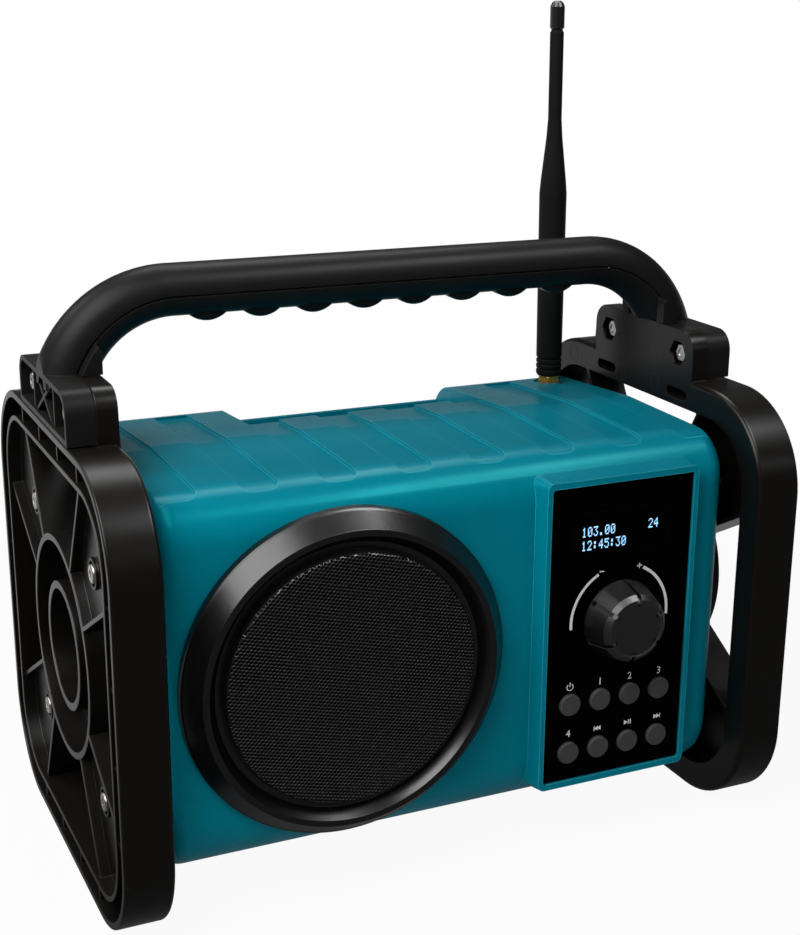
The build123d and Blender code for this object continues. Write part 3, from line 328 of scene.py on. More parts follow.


# each finish's edge colour and gain set its painted edge highlight
finishes = {
    'tealPlastic': {'color': (0.0, 0.190, 0.262), 'shade': (0.0, 0.176, 0.244), 'edgeHighlight': (0.08, 0.46, 0.54),
                    'tint': (0.02, 0.95, 0.90), 'rough': 0.27, 'specular': 0.24, 'highlightGain': 3.0,
                    'grainScale': 1900.0, 'grainDepth': 0.000022, 'waves': 0.02, 'dustAndGlintAmount': 0.0},
    'blackPlastic': {'color': (0.0036, 0.0027, 0.0021), 'shade': (0.0028, 0.0021, 0.0016),
                     'edgeHighlight': (0.045, 0.041, 0.037), 'rough': 0.27, 'specular': 0.27, 'waves': 0.1, 'highlightGain': 1.4,
                     'grainDepth': 0.00002, 'dustAndGlintAmount': 0.02},
    'gripPlastic': {'color': (0.0085, 0.0080, 0.0077), 'shade': (0.0072, 0.0067, 0.0064),
                    'edgeHighlight': (0.045, 0.042, 0.04), 'rough': 0.38, 'specular': 0.13, 'waves': 0.1, 'highlightGain': 1.4,
                    'grainDepth': 0.00003, 'dustAndGlintAmount': 0.02},
    'trimPlastic': {'color': (0.0028, 0.0028, 0.0028), 'shade': (0.0022, 0.0022, 0.0022), 'edgeHighlight': (0.03, 0.03, 0.03),
                    'rough': 0.25, 'specular': 0.55, 'highlightGain': 1.0, 'waves': 0.05, 'grainDepth': 0.000012,
                    'dustAndGlintAmount': 0.02},
    'buttonPlastic': {'color': (0.050, 0.050, 0.051), 'shade': (0.043, 0.043, 0.044), 'edgeHighlight': (0.08, 0.08, 0.08),
                      'rough': 0.45, 'specular': 0.35, 'highlightGain': 2.5, 'grainScale': 3400.0, 'dustAndGlintAmount': 0.03},
    # the knob's strong edge gain paints a highlight on its chamfer and slot edges
    'knobPlastic': {'color': (0.0028, 0.0024, 0.0021), 'shade': (0.0022, 0.0019, 0.0017), 'edgeHighlight': (0.05, 0.05, 0.05),
                    'rough': 0.33, 'specular': 0.9, 'highlightGain': 5.0, 'grainDepth': 0.000012, 'dustAndGlintAmount': 0.02},
    'panelGloss': {'color': (0.0006, 0.0006, 0.0007), 'shade': (0.0005, 0.0005, 0.0006), 'edgeHighlight': (0.01, 0.01, 0.01),
                   'rough': 0.07, 'roughSpread': 0.03, 'specular': 0.03, 'highlightGain': 1.0, 'grainDepth': 0.000001,
                   'dustAndGlintAmount': 0.01},
    'windowGloss': {'color': (0.0006, 0.0006, 0.0009), 'shade': (0.0005, 0.0005, 0.0007), 'edgeHighlight': (0.01, 0.01, 0.01),
                    'rough': 0.05, 'roughSpread': 0.02, 'specular': 0.03, 'highlightGain': 1.0, 'grainDepth': 0.000001,
                    'dustAndGlintAmount': 0.01},
    'blackRubber': {'color': (0.0100, 0.0097, 0.0095), 'shade': (0.0085, 0.0082, 0.0080), 'edgeHighlight': (0.04, 0.04, 0.04),
                    'rough': 0.45, 'specular': 0.04, 'highlightGain': 1.0, 'grainScale': 3200.0, 'grainDepth': 0.00003,
                    'dustAndGlintAmount': 0.03},
    # the grille's pale dust colour at high amount paints a glint on the up-facing hole walls, not dust
    'grilleMetal': {'color': (0.0040, 0.0040, 0.0040), 'shade': (0.0030, 0.0030, 0.0030), 'dustAndGlint': (0.11, 0.105, 0.10),
                    'rough': 0.26, 'specular': 0.9, 'highlightGain': 0.0, 'grainDepth': 0.00001, 'dustAndGlintAmount': 2.4},
    'innerPlastic': {'color': (0.03, 0.03, 0.032), 'shade': (0.025, 0.025, 0.027), 'rough': 0.55},
    'circuitBoard': {'color': (0.008, 0.09, 0.03), 'shade': (0.006, 0.07, 0.025), 'rough': 0.4, 'waves': 1.0},
    'ferriteBlack': {'color': (0.04, 0.04, 0.042), 'shade': (0.03, 0.03, 0.03), 'rough': 0.7, 'grainDepth': 0.0001},
    'speakerPaper': {'color': (0.0012, 0.0012, 0.0012), 'shade': (0.001, 0.001, 0.001), 'edgeHighlight': (0.001, 0.001, 0.001),
                     'rough': 0.8, 'specular': 0.02, 'dustAndGlintAmount': 0.0, 'grainDepth': 0.0001},
    'printInk': {'color': (0.75, 0.76, 0.76), 'shade': (0.70, 0.71, 0.71), 'edgeHighlight': (0.75, 0.76, 0.76), 'rough': 0.5,
                 'highlightGain': 0.0, 'grainDepth': 0.000004, 'dustAndGlintAmount': 0.0},
    'displayGlow': {'color': (0.30, 0.62, 0.95), 'shade': (0.28, 0.58, 0.92), 'edgeHighlight': (0.3, 0.6, 0.95), 'rough': 0.4,
                    'highlightGain': 0.0, 'glow': 0.9, 'dustAndGlintAmount': 0.0},
}
metals = {
    'zincSteel': {'color': (0.52, 0.51, 0.49), 'shade': (0.44, 0.43, 0.41), 'edgeHighlight': (0.75, 0.74, 0.72), 'metallic': 1.0,
                  'rough': 0.22, 'roughSpread': 0.16, 'grainDepth': 0.00001},
    'goldBrass': {'color': (0.80, 0.40, 0.09), 'shade': (0.70, 0.33, 0.06), 'edgeHighlight': (0.95, 0.65, 0.25), 'metallic': 0.75,
                  'rough': 0.2, 'roughSpread': 0.12, 'grainDepth': 0.00001},
    'rawAluminium': {'color': (0.55, 0.55, 0.56), 'shade': (0.5, 0.5, 0.51), 'edgeHighlight': (0.8, 0.8, 0.8), 'metallic': 1.0,
                     'rough': 0.35, 'grainDepth': 0.00001},
}
finish = {name: makeFinish(name, values) for name, values in finishes.items()}
finish.update({name: makeFinish(name, values, metal=True) for name, values in metals.items()})
print("finishes made:", len(finish))

# nodes that keep their solids and only get a finish
innerFinish = {
    'blackRubber': ['shell_seal'],
    'innerPlastic': ['battery_tray', 'battery_pack', 'dc_socket', 'aux_socket', 'encoder_body', 'encoder_slider',
                     'button_switches', 'display_module'],
    'circuitBoard': ['main_board', 'control_board'],
    'ferriteBlack': ['speaker_magnet'], 'speakerPaper': ['speaker_cone', 'speaker_dust_cap', 'speaker_surround'],
    'rawAluminium': ['amplifier_sink', 'capacitors', 'tuner_can'],
    'zincSteel': ['case_screws', 'board_screws', 'speaker_screws', 'panel_screws', 'encoder_shaft',
                  'door_pins', 'jack_nut', 'antenna_jack', 'antenna_pin', 'battery_contacts'],
    'trimPlastic': ['antenna_cap', 'speaker_basket'],
}
for finishName, wanted in innerFinish.items():
    for nodeName in wanted:
        paint(nodes[nodeName], finish[finishName])


# moulded pieces: merged copies with softened corners
mould = {'flatAngle': 0.4, 'segments': 2, 'bevelAngle': 38, 'smoothAngle': 34}


def mouldCopy(nodeName, pieceName, bevelWidth, clamp):
    piece = bpy.data.objects.new(pieceName, nodes[nodeName].data.copy())
    bpy.context.scene.collection.objects.link(piece)
    pick(piece)
    if piece.data.has_custom_normals:
        bpy.ops.mesh.customdata_custom_splitnormals_clear()
    editAll(piece)
    bpy.ops.mesh.remove_doubles(threshold=weld['moulded'])
    bpy.ops.mesh.dissolve_limited(angle_limit=radians(mould['flatAngle']))
    leaveEdit()
    bevel = piece.modifiers.new('corner', 'BEVEL')
    bevel.width = bevelWidth
    bevel.segments = mould['segments']
    bevel.limit_method = 'ANGLE'
    bevel.angle_limit = radians(mould['bevelAngle'])
    bevel.use_clamp_overlap = clamp
    bevel.miter_outer = 'MITER_ARC'
    applyAll(piece)
    smooth(piece, mould['smoothAngle'])
    evenNormals(piece)
    return piece


moulded = {
    'front_shell': ('tealPlastic', 'teal_plastic', 0.35 * mm),
    'rear_shell': ('tealPlastic', 'teal_plastic', 0.35 * mm),
    'battery_door': ('tealPlastic', 'teal_plastic', 0.3 * mm),
    'guard_left': ('blackPlastic', 'black_plastic', 0.45 * mm),
    'guard_right': ('blackPlastic', 'black_plastic', 0.45 * mm),
    'handle_outer_half': ('gripPlastic', 'black_plastic', 0.2 * mm),
    'handle_inner_half': ('gripPlastic', 'black_plastic', 0.2 * mm),
    'panel_face': ('panelGloss', 'panel_gloss', 0.2 * mm),
    'display_window': ('windowGloss', 'panel_gloss', 0.12 * mm),
    'antenna_whip': ('blackRubber', 'black_rubber', 0.2 * mm),
    'antenna_nut': ('goldBrass', 'brass', 0.15 * mm),
    'socket_flap': ('blackRubber', 'black_rubber', 0.3 * mm),
    'flap_anchor': ('blackRubber', 'black_rubber', 0.3 * mm),
    'guard_screws': ('zincSteel', 'steel', 0.12 * mm),
    'handle_bolts': ('zincSteel', 'steel', 0.12 * mm),
    'handle_nuts': ('zincSteel', 'steel', 0.15 * mm),
}
for row in ('top', 'low'):
    for column in range(1, 5):
        moulded['button_%s_%d' % (row, column)] = ('buttonPlastic', 'button_plastic', 0.6 * mm)
for nodeName, (finishName, slotName, bevelWidth) in moulded.items():
    piece = mouldCopy(nodeName, nodeName + '_moulding', bevelWidth, finishName == 'tealPlastic')
    deliver(piece, bodyOf[nodeName], finish[finishName], [nodeName])
    print("moulded", nodeName, len(piece.data.polygons), "faces")

# speaker trim ring
ring = {'x': -52.4, 'z': 99.0, 'steps': 160, 'soft': 0.35, 'smooth': 40, 'outline': [
    (53.4, -82.9), (56.2, -83.0), (59.8, -88.5), (62.3, -88.5), (67.9, -81.5), (69.0, -80.7), (69.2, -77.1),
    (68.2, -77.1), (68.2, -80.0), (57.0, -80.0), (57.0, -82.3), (53.4, -82.3), (53.4, -82.9)]}
ringPiece = turnPiece('speaker_trim_ring', ring['outline'], ring['x'], ring['z'], ring['steps'])
softenEdges(ringPiece, ring['soft'] * mm)
smooth(ringPiece, ring['smooth'])
evenNormals(ringPiece)
deliver(ringPiece, 'case', finish['trimPlastic'], ['speaker_ring'])

# tuning knob: tapered, six slots that break its bright corner; the corner's brightness is partly gloss and partly the
# painted edge highlight of its finish
knob = {'x': 70.3, 'z': 104.3, 'steps': 180, 'slots': 6, 'turn': 26.6, 'slotSteps': 4, 'depth': 0.86, 'soft': 0.2,
        'softSteps': 2, 'softAngle': 28, 'smooth': 35, 'slotBack': -85.8, 'slotInner': 12.3, 'sinkY': -90,
        'faceRim': (-98.4, -98.3),
        'outline': [(17.5, -84.9), (17.5, -85.7), (14.9, -96.6), (13.0, -98.55), (12.2, -98.55), (11.9, -98.35)]}


def makeKnob():
    piece = turnPiece('tuning_knob', knob['outline'], knob['x'], knob['z'], knob['steps'])
    editAll(piece)
    bpy.ops.mesh.select_all(action='DESELECT')
    leaveEdit()
    stepAngle = 360 / knob['steps']
    for face in piece.data.polygons:
        middle = face.center
        angle = atan2(middle.z - knob['z'] * mm, middle.x - knob['x'] * mm) * 180 / pi
        turned = (angle - knob['turn']) % (360 / knob['slots'])
        away = min(turned, 360 / knob['slots'] - turned)
        radius = Vector((middle.x / mm - knob['x'], middle.z / mm - knob['z'])).length
        inSlot = away < stepAngle * knob['slotSteps'] / 2
        face.select = inSlot and middle.y / mm < knob['slotBack'] and radius > knob['slotInner']
    bpy.ops.object.mode_set(mode='EDIT')
    bpy.ops.mesh.select_mode(type='FACE')
    bpy.ops.mesh.extrude_region_move()
    sink = knob['depth']
    bpy.ops.transform.resize(value=(sink, 1, sink),
                             center_override=(knob['x'] * mm, knob['sinkY'] * mm, knob['z'] * mm))
    bpy.ops.mesh.select_all(action='SELECT')
    bpy.ops.mesh.select_mode(type='VERT')
    bpy.ops.mesh.remove_doubles(threshold=weld['knob'])
    bpy.ops.mesh.select_all(action='DESELECT')
    leaveEdit()
    rimFront, rimBack = knob['faceRim']
    for edge in piece.data.edges:  # the open rim at the face
        ends = [piece.data.vertices[v].co.y / mm for v in edge.vertices]
        edge.select = max(ends) < rimBack and min(ends) > rimFront
    bpy.ops.object.mode_set(mode='EDIT')
    bpy.ops.mesh.select_mode(type='EDGE')
    bpy.ops.mesh.edge_face_add()
    bpy.ops.mesh.select_all(action='SELECT')
    bpy.ops.mesh.normals_make_consistent(inside=False)
    leaveEdit()
    softenEdges(piece, knob['soft'] * mm, knob['softSteps'], knob['softAngle'])
    smooth(piece, knob['smooth'])
    evenNormals(piece)
    return piece


deliver(makeKnob(), 'knob', finish['knobPlastic'], ['volume_knob'])
print("trim ring and knob turned")

# speaker grille: real holes punched on a honeycomb, then domed
grille = {'centre': (-52.4, 99.0), 'pitch': 1.6, 'hole': 0.74, 'sheet': 0.7, 'reach': 52.4, 'turn': 14.3, 'back': -82.4,
          'spare': 3, 'rimSteps': 120, 'rimSmooth': 35,
          'dome': [(0, -6.2), (18, -6.1), (36, -5.9), (51.2, -5.6), (51.9, -5.4), (52.5, -4.9), (52.8, -4.3), (53, -3)],
          'rim': [(52.4, -4.9), (52.8, -4.2), (52.8, 0.1), (56.8, 0.1), (56.8, 0.7), (53.4, 0.7), (53.4, 8.2),
                  (52.8, 8.2), (52.3, 0.4), (52.3, -4.2), (52.4, -4.9)]}


def domeAt(radius):
    points = grille['dome']
    for (r0, y0), (r1, y1) in zip(points, points[1:]):
        if radius <= r1:
            t = (radius - r0) / (r1 - r0)
            return (y0 + (y1 - y0) * t) * mm
    return points[-1][1] * mm


def makeHoleCell():  # one punched hole with its wall, in its share of the sheet
    bpy.ops.mesh.primitive_circle_add(vertices=6, radius=grille['pitch'] / sqrt(3) * mm, fill_type='NGON',
                                      rotation=(radians(90), 0, 0))
    cell = bpy.context.object
    settle(cell)
    editAll(cell)
    bpy.ops.mesh.select_mode(type='FACE')
    bpy.ops.mesh.select_all(action='SELECT')
    bpy.ops.mesh.inset(thickness=(grille['pitch'] / 2 - grille['hole'] * sqrt(3) / 2) * mm)
    bpy.ops.mesh.extrude_region_move(TRANSFORM_OT_translate={"value": (0, grille['sheet'] * mm, 0)})
    bpy.ops.mesh.delete(type='FACE')
    leaveEdit()
    return cell


def makeGrille():
    cell = makeHoleCell()
    pitch = grille['pitch'] * mm
    rowStep = pitch * sqrt(3) / 2
    second = cell.copy()
    second.data = cell.data.copy()
    bpy.context.scene.collection.objects.link(second)
    second.location = (pitch / 2, 0, rowStep)
    settle(second)
    pair = joinPieces([cell, second], 'speaker_grille_sheet')
    reach = (grille['reach'] + grille['spare']) * mm
    for axis, step in ((0, pitch), (2, 2 * rowStep)):
        array = pair.modifiers.new('row', 'ARRAY')
        array.use_relative_offset = False
        array.use_constant_offset = True
        offset = [0, 0, 0]
        offset[axis] = step
        array.constant_offset_displace = offset
        array.count = int(2 * reach / step) + 2
        array.use_merge_vertices = True
        array.merge_threshold = weld['grille']
    applyAll(pair)
    bm = bmesh.new()
    bm.from_mesh(pair.data)
    bmesh.ops.remove_doubles(bm, verts=bm.verts, dist=weld['grille'])
    bmesh.ops.translate(bm, verts=bm.verts, vec=(-reach, 0, -reach))
    bmesh.ops.rotate(bm, verts=bm.verts, cent=(0, 0, 0), matrix=Matrix.Rotation(radians(grille['turn']), 3, 'Y'))
    far = [f for f in bm.faces if Vector((f.calc_center_median().x, f.calc_center_median().z)).length
           > grille['reach'] * mm]
    bmesh.ops.delete(bm, geom=far, context='FACES')
    for vertex in bm.verts:
        radius = sqrt(vertex.co.x ** 2 + vertex.co.z ** 2) / mm
        vertex.co.y += grille['back'] * mm + domeAt(radius)
        vertex.co.x += grille['centre'][0] * mm
        vertex.co.z += grille['centre'][1] * mm
    bmesh.ops.recalc_face_normals(bm, faces=bm.faces)
    bm.to_mesh(pair.data)
    bm.free()
    outward = sum(p.normal.y * p.area for p in pair.data.polygons)
    if outward > 0:
        pair.data.flip_normals()
    return pair


def makeGrilleRim():  # plain rolled edge and flange of the sheet, held behind the trim ring
    x, z = grille['centre']
    outline = [(radius, grille['back'] + y) for radius, y in grille['rim']]
    rim = turnPiece('grille_rim', outline, x, z, grille['rimSteps'])
    smooth(rim, grille['rimSmooth'])
    return rim


grilleSheet = makeGrille()
deliver(grilleSheet, 'case', finish['grilleMetal'], ['speaker_grille'])
deliver(makeGrilleRim(), 'case', finish['trimPlastic'])
print("grille:", len(grilleSheet.data.polygons), "faces")

# round ejector pin marks on the inner faces of the guards
pinMarks = {'plane': 129.7, 'reach': 4.0, 'line': 0.5, 'proud': 0.08, 'deep': 0.1, 'steps': 40,
            'places': [(16.5, 200.9), (-14.5, 201.8), (-12.7, 185.4), (15.9, 183.9), (61.3, 183.8)]}


def makePinMark(side, y, z):  # a thin raised ring line
    bpy.ops.mesh.primitive_circle_add(vertices=pinMarks['steps'], radius=pinMarks['reach'] * mm, fill_type='NGON',
                                      rotation=(0, radians(90), 0))
    mark = bpy.context.object
    mark.location = (side * (pinMarks['plane'] - pinMarks['proud']) * mm, y * mm, z * mm)
    settle(mark)
    editAll(mark)
    bpy.ops.mesh.select_mode(type='FACE')
    bpy.ops.mesh.select_all(action='SELECT')
    bpy.ops.mesh.inset(thickness=pinMarks['line'] * mm)
    bpy.ops.mesh.delete(type='FACE')
    bpy.ops.mesh.select_all(action='SELECT')
    bpy.ops.mesh.extrude_region_move(TRANSFORM_OT_translate={"value": (side * pinMarks['deep'] * mm, 0, 0)})
    bpy.ops.mesh.select_all(action='SELECT')
    bpy.ops.mesh.normals_make_consistent(inside=False)
    leaveEdit()
    return mark


for side, label in ((-1, 'left'), (1, 'right')):
    clearSelection()
    rings = [makePinMark(side, y, z) for y, z in pinMarks['places']]
    deliver(joinPieces(rings, 'pin_marks_' + label), 'case', finish['blackPlastic'])
print("pin marks set")

# printing on the control face
printing = {'lift': 0.03, 'arcCentre': (70.6, 104.5), 'arcR': 23.6, 'arcWidth': 1.3, 'arcs': [(118, 185), (-5, 63)],
            'minus': (61.0, 126.5), 'minusWide': 2.2, 'plus': (79.5, 126.5), 'plusWide': 2.4, 'signLine': 0.5,
            'labelSize': 4.6, 'textSteps': 3, 'textDeep': 0.01, 'columns': (47.8, 62.6, 77.4, 92.2),
            'topRow': 76.2, 'lowRow': 54.4, 'barHigh': 2.2,
            'standby': {'radius': 1.5, 'line': 0.4, 'sweep': (-230, 50), 'barAt': 77.3, 'barHigh': 1.9},
            'skip': {'wedge': 1.25, 'shift': 0.7, 'barAway': 1.9, 'barWide': 0.4},
            'play': {'wedge': 1.25, 'wedgeBack': 1.0, 'bars': (0.6, 1.6), 'barWide': 0.5}}
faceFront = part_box('panel_face')[0].y - printing['lift'] * mm


def placeFlat(piece, x, z, y):  # stands a flat XY piece up, facing the front
    piece.rotation_euler = (radians(90), 0, 0)
    piece.location = (x * mm, y, z * mm)
    settle(piece)
    return piece


def makeText(words, x, z, size, y):
    bpy.ops.object.text_add()
    text = bpy.context.object
    text.data.body = words
    text.data.size = size * mm
    text.data.align_x = 'CENTER'
    text.data.align_y = 'CENTER'
    text.data.resolution_u = printing['textSteps']
    text.data.extrude = printing['textDeep'] * mm
    pick(text)
    bpy.ops.object.convert(target='MESH')
    return placeFlat(bpy.context.object, x, z, y)


def makeBar(x, z, width, height, y):
    bpy.ops.mesh.primitive_plane_add(size=1)
    bar = bpy.context.object
    bar.scale = (width * mm, height * mm, 1)
    pick(bar)
    bpy.ops.object.transform_apply(location=False, rotation=False, scale=True)
    return placeFlat(bar, x, z, y)


def makeWedge(x, z, reach, y, turn):  # small triangle pointing left or right
    bpy.ops.mesh.primitive_circle_add(vertices=3, radius=reach * mm, fill_type='NGON', rotation=(0, 0, radians(turn)))
    wedge = bpy.context.object
    pick(wedge)
    bpy.ops.object.transform_apply(location=False, rotation=True, scale=True)
    return placeFlat(wedge, x, z, y)


def makeArc(x, z, radius, width, start, end, y):  # a short line spun about the middle
    bpy.ops.mesh.primitive_plane_add(size=1)
    arc = bpy.context.object
    editAll(arc)
    bpy.ops.mesh.merge(type='CENTER')
    bpy.ops.mesh.select_all(action='SELECT')
    bpy.ops.transform.translate(value=((radius - width / 2) * mm, 0, 0))
    bpy.ops.mesh.extrude_region_move(TRANSFORM_OT_translate={"value": (width * mm, 0, 0)})
    bpy.ops.mesh.select_all(action='SELECT')
    bpy.ops.transform.rotate(value=radians(-start), orient_axis='Z', center_override=(0, 0, 0))
    bpy.ops.mesh.spin(steps=max(6, int(abs(end - start) / 3)), angle=radians(end - start), center=(0, 0, 0),
                      axis=(0, 0, -1))  # spin runs the other way here
    leaveEdit()
    return placeFlat(arc, x, z, y)


marks = []
for start, end in printing['arcs']:
    marks.append(makeArc(*printing['arcCentre'], printing['arcR'], printing['arcWidth'], start, end, faceFront))
line = printing['signLine']
marks.append(makeBar(*printing['minus'], printing['minusWide'], line, faceFront))
marks.append(makeBar(*printing['plus'], printing['plusWide'], line, faceFront))
marks.append(makeBar(*printing['plus'], line, printing['plusWide'], faceFront))
columns, topRow, lowRow = (printing[k] for k in ('columns', 'topRow', 'lowRow'))
for column, digit in zip(columns[1:], '123'):
    marks.append(makeText(digit, column, topRow, printing['labelSize'], faceFront))
marks.append(makeText('4', columns[0], lowRow, printing['labelSize'], faceFront))
standby, skip, play = (printing[k] for k in ('standby', 'skip', 'play'))
marks.append(makeArc(columns[0], topRow, standby['radius'], standby['line'], *standby['sweep'], faceFront))
marks.append(makeBar(columns[0], standby['barAt'], standby['line'], standby['barHigh'], faceFront))
for column, turn, side in ((columns[1], 90, -1), (columns[3], -90, 1)):
    for shift in (-skip['shift'], skip['shift']):
        marks.append(makeWedge(column + shift, lowRow, skip['wedge'], faceFront, turn))
    marks.append(makeBar(column + side * skip['barAway'], lowRow, skip['barWide'], printing['barHigh'], faceFront))
marks.append(makeWedge(columns[2] - play['wedgeBack'], lowRow, play['wedge'], faceFront, -90))
for shift in play['bars']:
    marks.append(makeBar(columns[2] + shift, lowRow, play['barWide'], printing['barHigh'], faceFront))
printPiece = joinPieces(marks, 'control_face_print')
deliver(printPiece, 'case', finish['printInk'])
print("printing laid on")

# display figures, one small lit square at a time
figures = {
    '0': '01110 10001 10011 10101 11001 10001 01110', '1': '00100 01100 00100 00100 00100 00100 01110',
    '2': '01110 10001 00001 00010 00100 01000 11111', '3': '11111 00010 00100 00010 00001 10001 01110',
    '4': '00010 00110 01010 10010 11111 00010 00010', '5': '11111 10000 11110 00001 00001 10001 01110',
    '.': '00000 00000 00000 00000 00000 01100 01100', ':': '00000 01100 01100 00000 01100 01100 00000',
}
display = {'left': 50.6, 'rows': [(144.6, '103.00', 0), (138.6, '12:45:30', 0), (144.6, '24', 32.2)],
           'dotWide': 0.42, 'dotHigh': 0.6, 'across': 5, 'down': 7, 'step': 2.75, 'drop': 1.75, 'lift': 0.04}
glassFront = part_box('display_window')[0].y - display['lift'] * mm


def makeFigure(sign, left, foot):
    wide, high, across, down = (display[k] for k in ('dotWide', 'dotHigh', 'across', 'down'))
    bpy.ops.mesh.primitive_grid_add(x_subdivisions=across, y_subdivisions=down, size=1)
    figure = bpy.context.object
    figure.scale = (across * wide * mm, down * high * mm, 1)
    pick(figure)
    bpy.ops.object.transform_apply(location=False, rotation=False, scale=True)
    rows = figures[sign].split()
    editAll(figure)
    bpy.ops.mesh.select_mode(type='FACE')
    bpy.ops.mesh.select_all(action='DESELECT')
    leaveEdit()
    for face in figure.data.polygons:
        column = int(face.center.x / (wide * mm) + across / 2)
        row = down - 1 - int(face.center.y / (high * mm) + down / 2)
        face.select = rows[row][column] == '0'
    bpy.ops.object.mode_set(mode='EDIT')
    bpy.ops.mesh.delete(type='FACE')
    leaveEdit()
    return placeFlat(figure, left + across / 2 * wide, foot + down / 2 * high - display['drop'], glassFront)


lit = []
for foot, words, shift in display['rows']:
    for place, sign in enumerate(words):
        lit.append(makeFigure(sign, display['left'] + shift + place * display['step'], foot))
litPiece = joinPieces(lit, 'display_figures')
deliver(litPiece, 'case', finish['displayGlow'])
print("display figures lit")

# floor, lamps, world and camera
stageLook = {'floorSize': 8, 'floorDrop': 0.0002, 'floorColor': (0.6, 0.6, 0.6), 'floorRough': 0.8,
             'floorSpecular': 0.1, 'keepWhite': 0.94, 'fadeFrom': 0.3, 'fadeTo': 0.9, 'floorGloss': 0.12,
             'floorSpan': (-0.1, 0.3),
             'worldLight': 0.04, 'glossFront': 0.05, 'glossBehind': 0.7, 'behindSpan': (0.0, 0.6),
             'sweepSpan': (0.0, 0.12), 'aboveSweep': 0.05}


def addRange(tree, value, low, high, fromShare, toShare):
    span = tree.nodes.new('ShaderNodeMapRange')
    span.interpolation_type = 'SMOOTHSTEP'
    for label, number in (('From Min', low), ('From Max', high), ('To Min', fromShare), ('To Max', toShare)):
        span.inputs[label].default_value = number
    tree.links.new(value, span.inputs['Value'])
    return span.outputs['Result']


def makeFloor():
    bpy.ops.mesh.primitive_plane_add(size=stageLook['floorSize'], location=(0, 0, -stageLook['floorDrop']))
    floor = bpy.context.object
    floor.name = 'studio_floor'
    material = bpy.data.materials.new('paleFloor')
    material.use_nodes = True
    tree = material.node_tree
    shader = tree.nodes['Principled BSDF']
    shader.inputs['Base Color'].default_value = (*stageLook['floorColor'], 1)
    shader.inputs['Roughness'].default_value = stageLook['floorRough']
    shader.inputs['Specular IOR Level'].default_value = stageLook['floorSpecular']
    white = tree.nodes.new('ShaderNodeEmission')
    path = tree.nodes.new('ShaderNodeLightPath')
    place = tree.nodes.new('ShaderNodeTexCoord')
    apart = tree.nodes.new('ShaderNodeSeparateXYZ')
    tree.links.new(place.outputs['Object'], apart.inputs[0])
    bright = addRange(tree, apart.outputs['Y'], *stageLook['floorSpan'], stageLook['floorGloss'],
                      stageLook['glossBehind'])
    gloss = addMath(tree, 'MULTIPLY', path.outputs['Is Glossy Ray'], bright)
    tree.links.new(addMath(tree, 'ADD', path.outputs['Is Camera Ray'], gloss), white.inputs['Strength'])
    length = tree.nodes.new('ShaderNodeVectorMath')
    length.operation = 'LENGTH'
    tree.links.new(place.outputs['Object'], length.inputs[0])
    fade = addRange(tree, length.outputs['Value'], stageLook['fadeFrom'], stageLook['fadeTo'],
                    stageLook['keepWhite'], 1.0)  # the floor runs out to plain white
    shown = addMath(tree, 'MULTIPLY', path.outputs['Is Camera Ray'], fade)
    share = addMath(tree, 'MAXIMUM', shown, path.outputs['Is Glossy Ray'])
    mix = tree.nodes.new('ShaderNodeMixShader')
    tree.links.new(share, mix.inputs[0])
    tree.links.new(shader.outputs[0], mix.inputs[1])
    tree.links.new(white.outputs[0], mix.inputs[2])
    tree.links.new(mix.outputs[0], tree.nodes['Material Output'].inputs['Surface'])
    paint(floor, material)


def makeLamp(name, place, target, width, depth, power, glossOnly=False):
    data = bpy.data.lights.new(name, 'AREA')
    data.shape = 'RECTANGLE'
    data.size = width
    data.size_y = depth
    data.energy = power
    lamp = bpy.data.objects.new(name, data)
    bpy.context.scene.collection.objects.link(lamp)
    aim = Vector(target) - Vector(place)
    lamp.rotation_euler = aim.to_track_quat('-Z', 'Y').to_euler()
    lamp.location = place
    lamp.visible_diffuse = not glossOnly


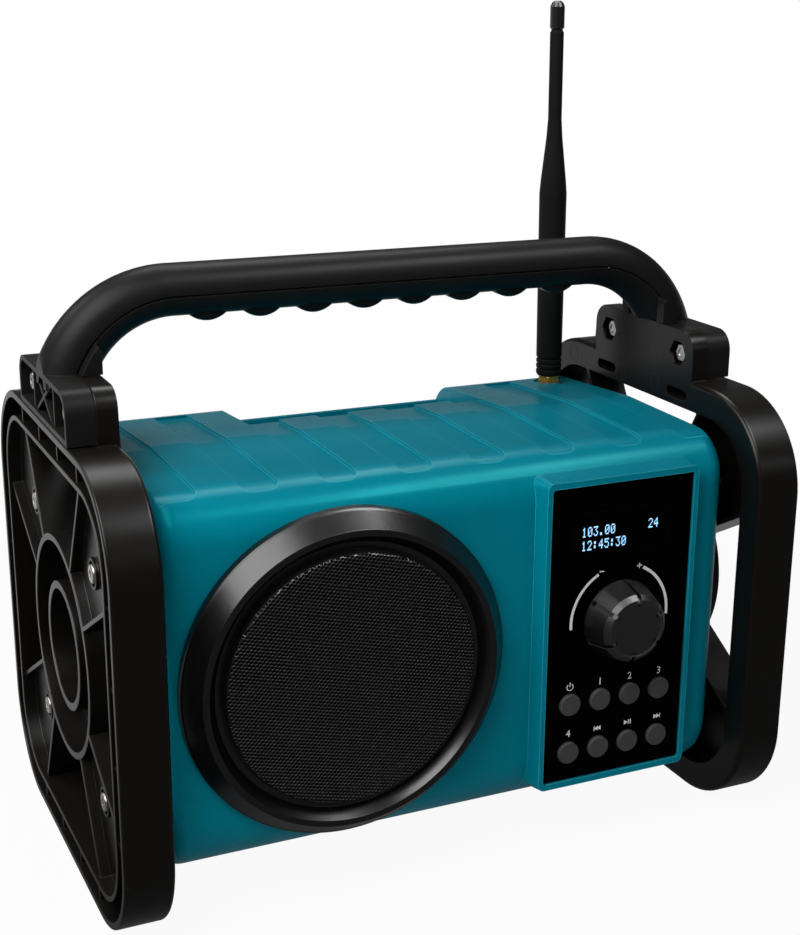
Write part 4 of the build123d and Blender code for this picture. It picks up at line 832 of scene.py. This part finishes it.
def makeWorld():
    world = bpy.data.worlds.new('studio')
    bpy.context.scene.world = world
    world.use_nodes = True
    tree = world.node_tree
    back = tree.nodes['Background']
    back.inputs['Color'].default_value = (1, 1, 1, 1)
    path = tree.nodes.new('ShaderNodeLightPath')
    seen = addMath(tree, 'MAXIMUM', path.outputs['Is Camera Ray'], path.outputs['Is Transmission Ray'])
    way = tree.nodes.new('ShaderNodeTexCoord')
    apart = tree.nodes.new('ShaderNodeSeparateXYZ')  # a low white sweep stands behind, the front side is dark
    tree.links.new(way.outputs['Generated'], apart.inputs[0])
    behind = addRange(tree, apart.outputs['Y'], *stageLook['behindSpan'], stageLook['glossFront'],
                      stageLook['glossBehind'])
    low = addRange(tree, apart.outputs['Z'], *stageLook['sweepSpan'], 1.0, stageLook['aboveSweep'])
    share = addMath(tree, 'MULTIPLY', behind, low)
    gloss = addMath(tree, 'MULTIPLY', path.outputs['Is Glossy Ray'], share)
    seen = addMath(tree, 'MAXIMUM', seen, gloss)
    rest = addMath(tree, 'MULTIPLY', seen, 1.0 - stageLook['worldLight'])
    tree.links.new(addMath(tree, 'ADD', rest, stageLook['worldLight']), back.inputs['Strength'])


lamps = [  # name, place, target, width, depth, power, gloss only
    ('keySoftbox', (-0.64, -0.36, 0.94), (-0.05, -0.08, 0.12), 0.8, 0.8, 14.0),
    ('upperFront', (-0.40, -0.85, 0.95), (0.0, -0.05, 0.14), 0.45, 0.35, 1.9),
    ('topGleam', (0.43, -0.46, 0.99), (0.0, -0.07, 0.16), 0.5, 0.22, 6.0, True),
    ('stripLight', (0.55, -1.10, 0.62), (0.0, 0, 0.22), 0.9, 0.12, 0.7),
    ('backSoftbox', (0.20, 0.50, 1.10), (0, 0, 0.22), 0.7, 0.35, 4.5, True),
    ('leftBackSoftbox', (-0.72, 0.62, 0.92), (-0.02, 0, 0.14), 0.5, 0.5, 2.8),
]
makeFloor()
makeWorld()
for lampValues in lamps:
    makeLamp(*lampValues)

cameraLook = {'place': (-0.27709, -0.62272, 0.36066), 'lens': 61.96, 'sensor': 36, 'shift': (-0.0229, 0.0166),
              'clipStart': 0.01,
              'right': (0.90568148, -0.42383603, 0.01020151), 'up': (0.1169572, 0.2729061, 0.95490485),
              'forward': (0.40750713, 0.8636465, -0.29673668)}
cameraData = bpy.data.cameras.new('frontLeftView')
cameraData.lens = cameraLook['lens']
cameraData.sensor_width = cameraLook['sensor']
cameraData.shift_x, cameraData.shift_y = cameraLook['shift']
cameraData.clip_start = cameraLook['clipStart']
camera = bpy.data.objects.new('frontLeftView', cameraData)
bpy.context.scene.collection.objects.link(camera)
right, up, forward = (Vector(cameraLook[k]) for k in ('right', 'up', 'forward'))
turn = Matrix((right, up, -forward)).transposed().to_4x4()
camera.matrix_world = Matrix.Translation(cameraLook['place']) @ turn
bpy.context.scene.camera = camera
bpy.context.scene.view_settings.view_transform = 'Standard'
print("camera and lamps set")
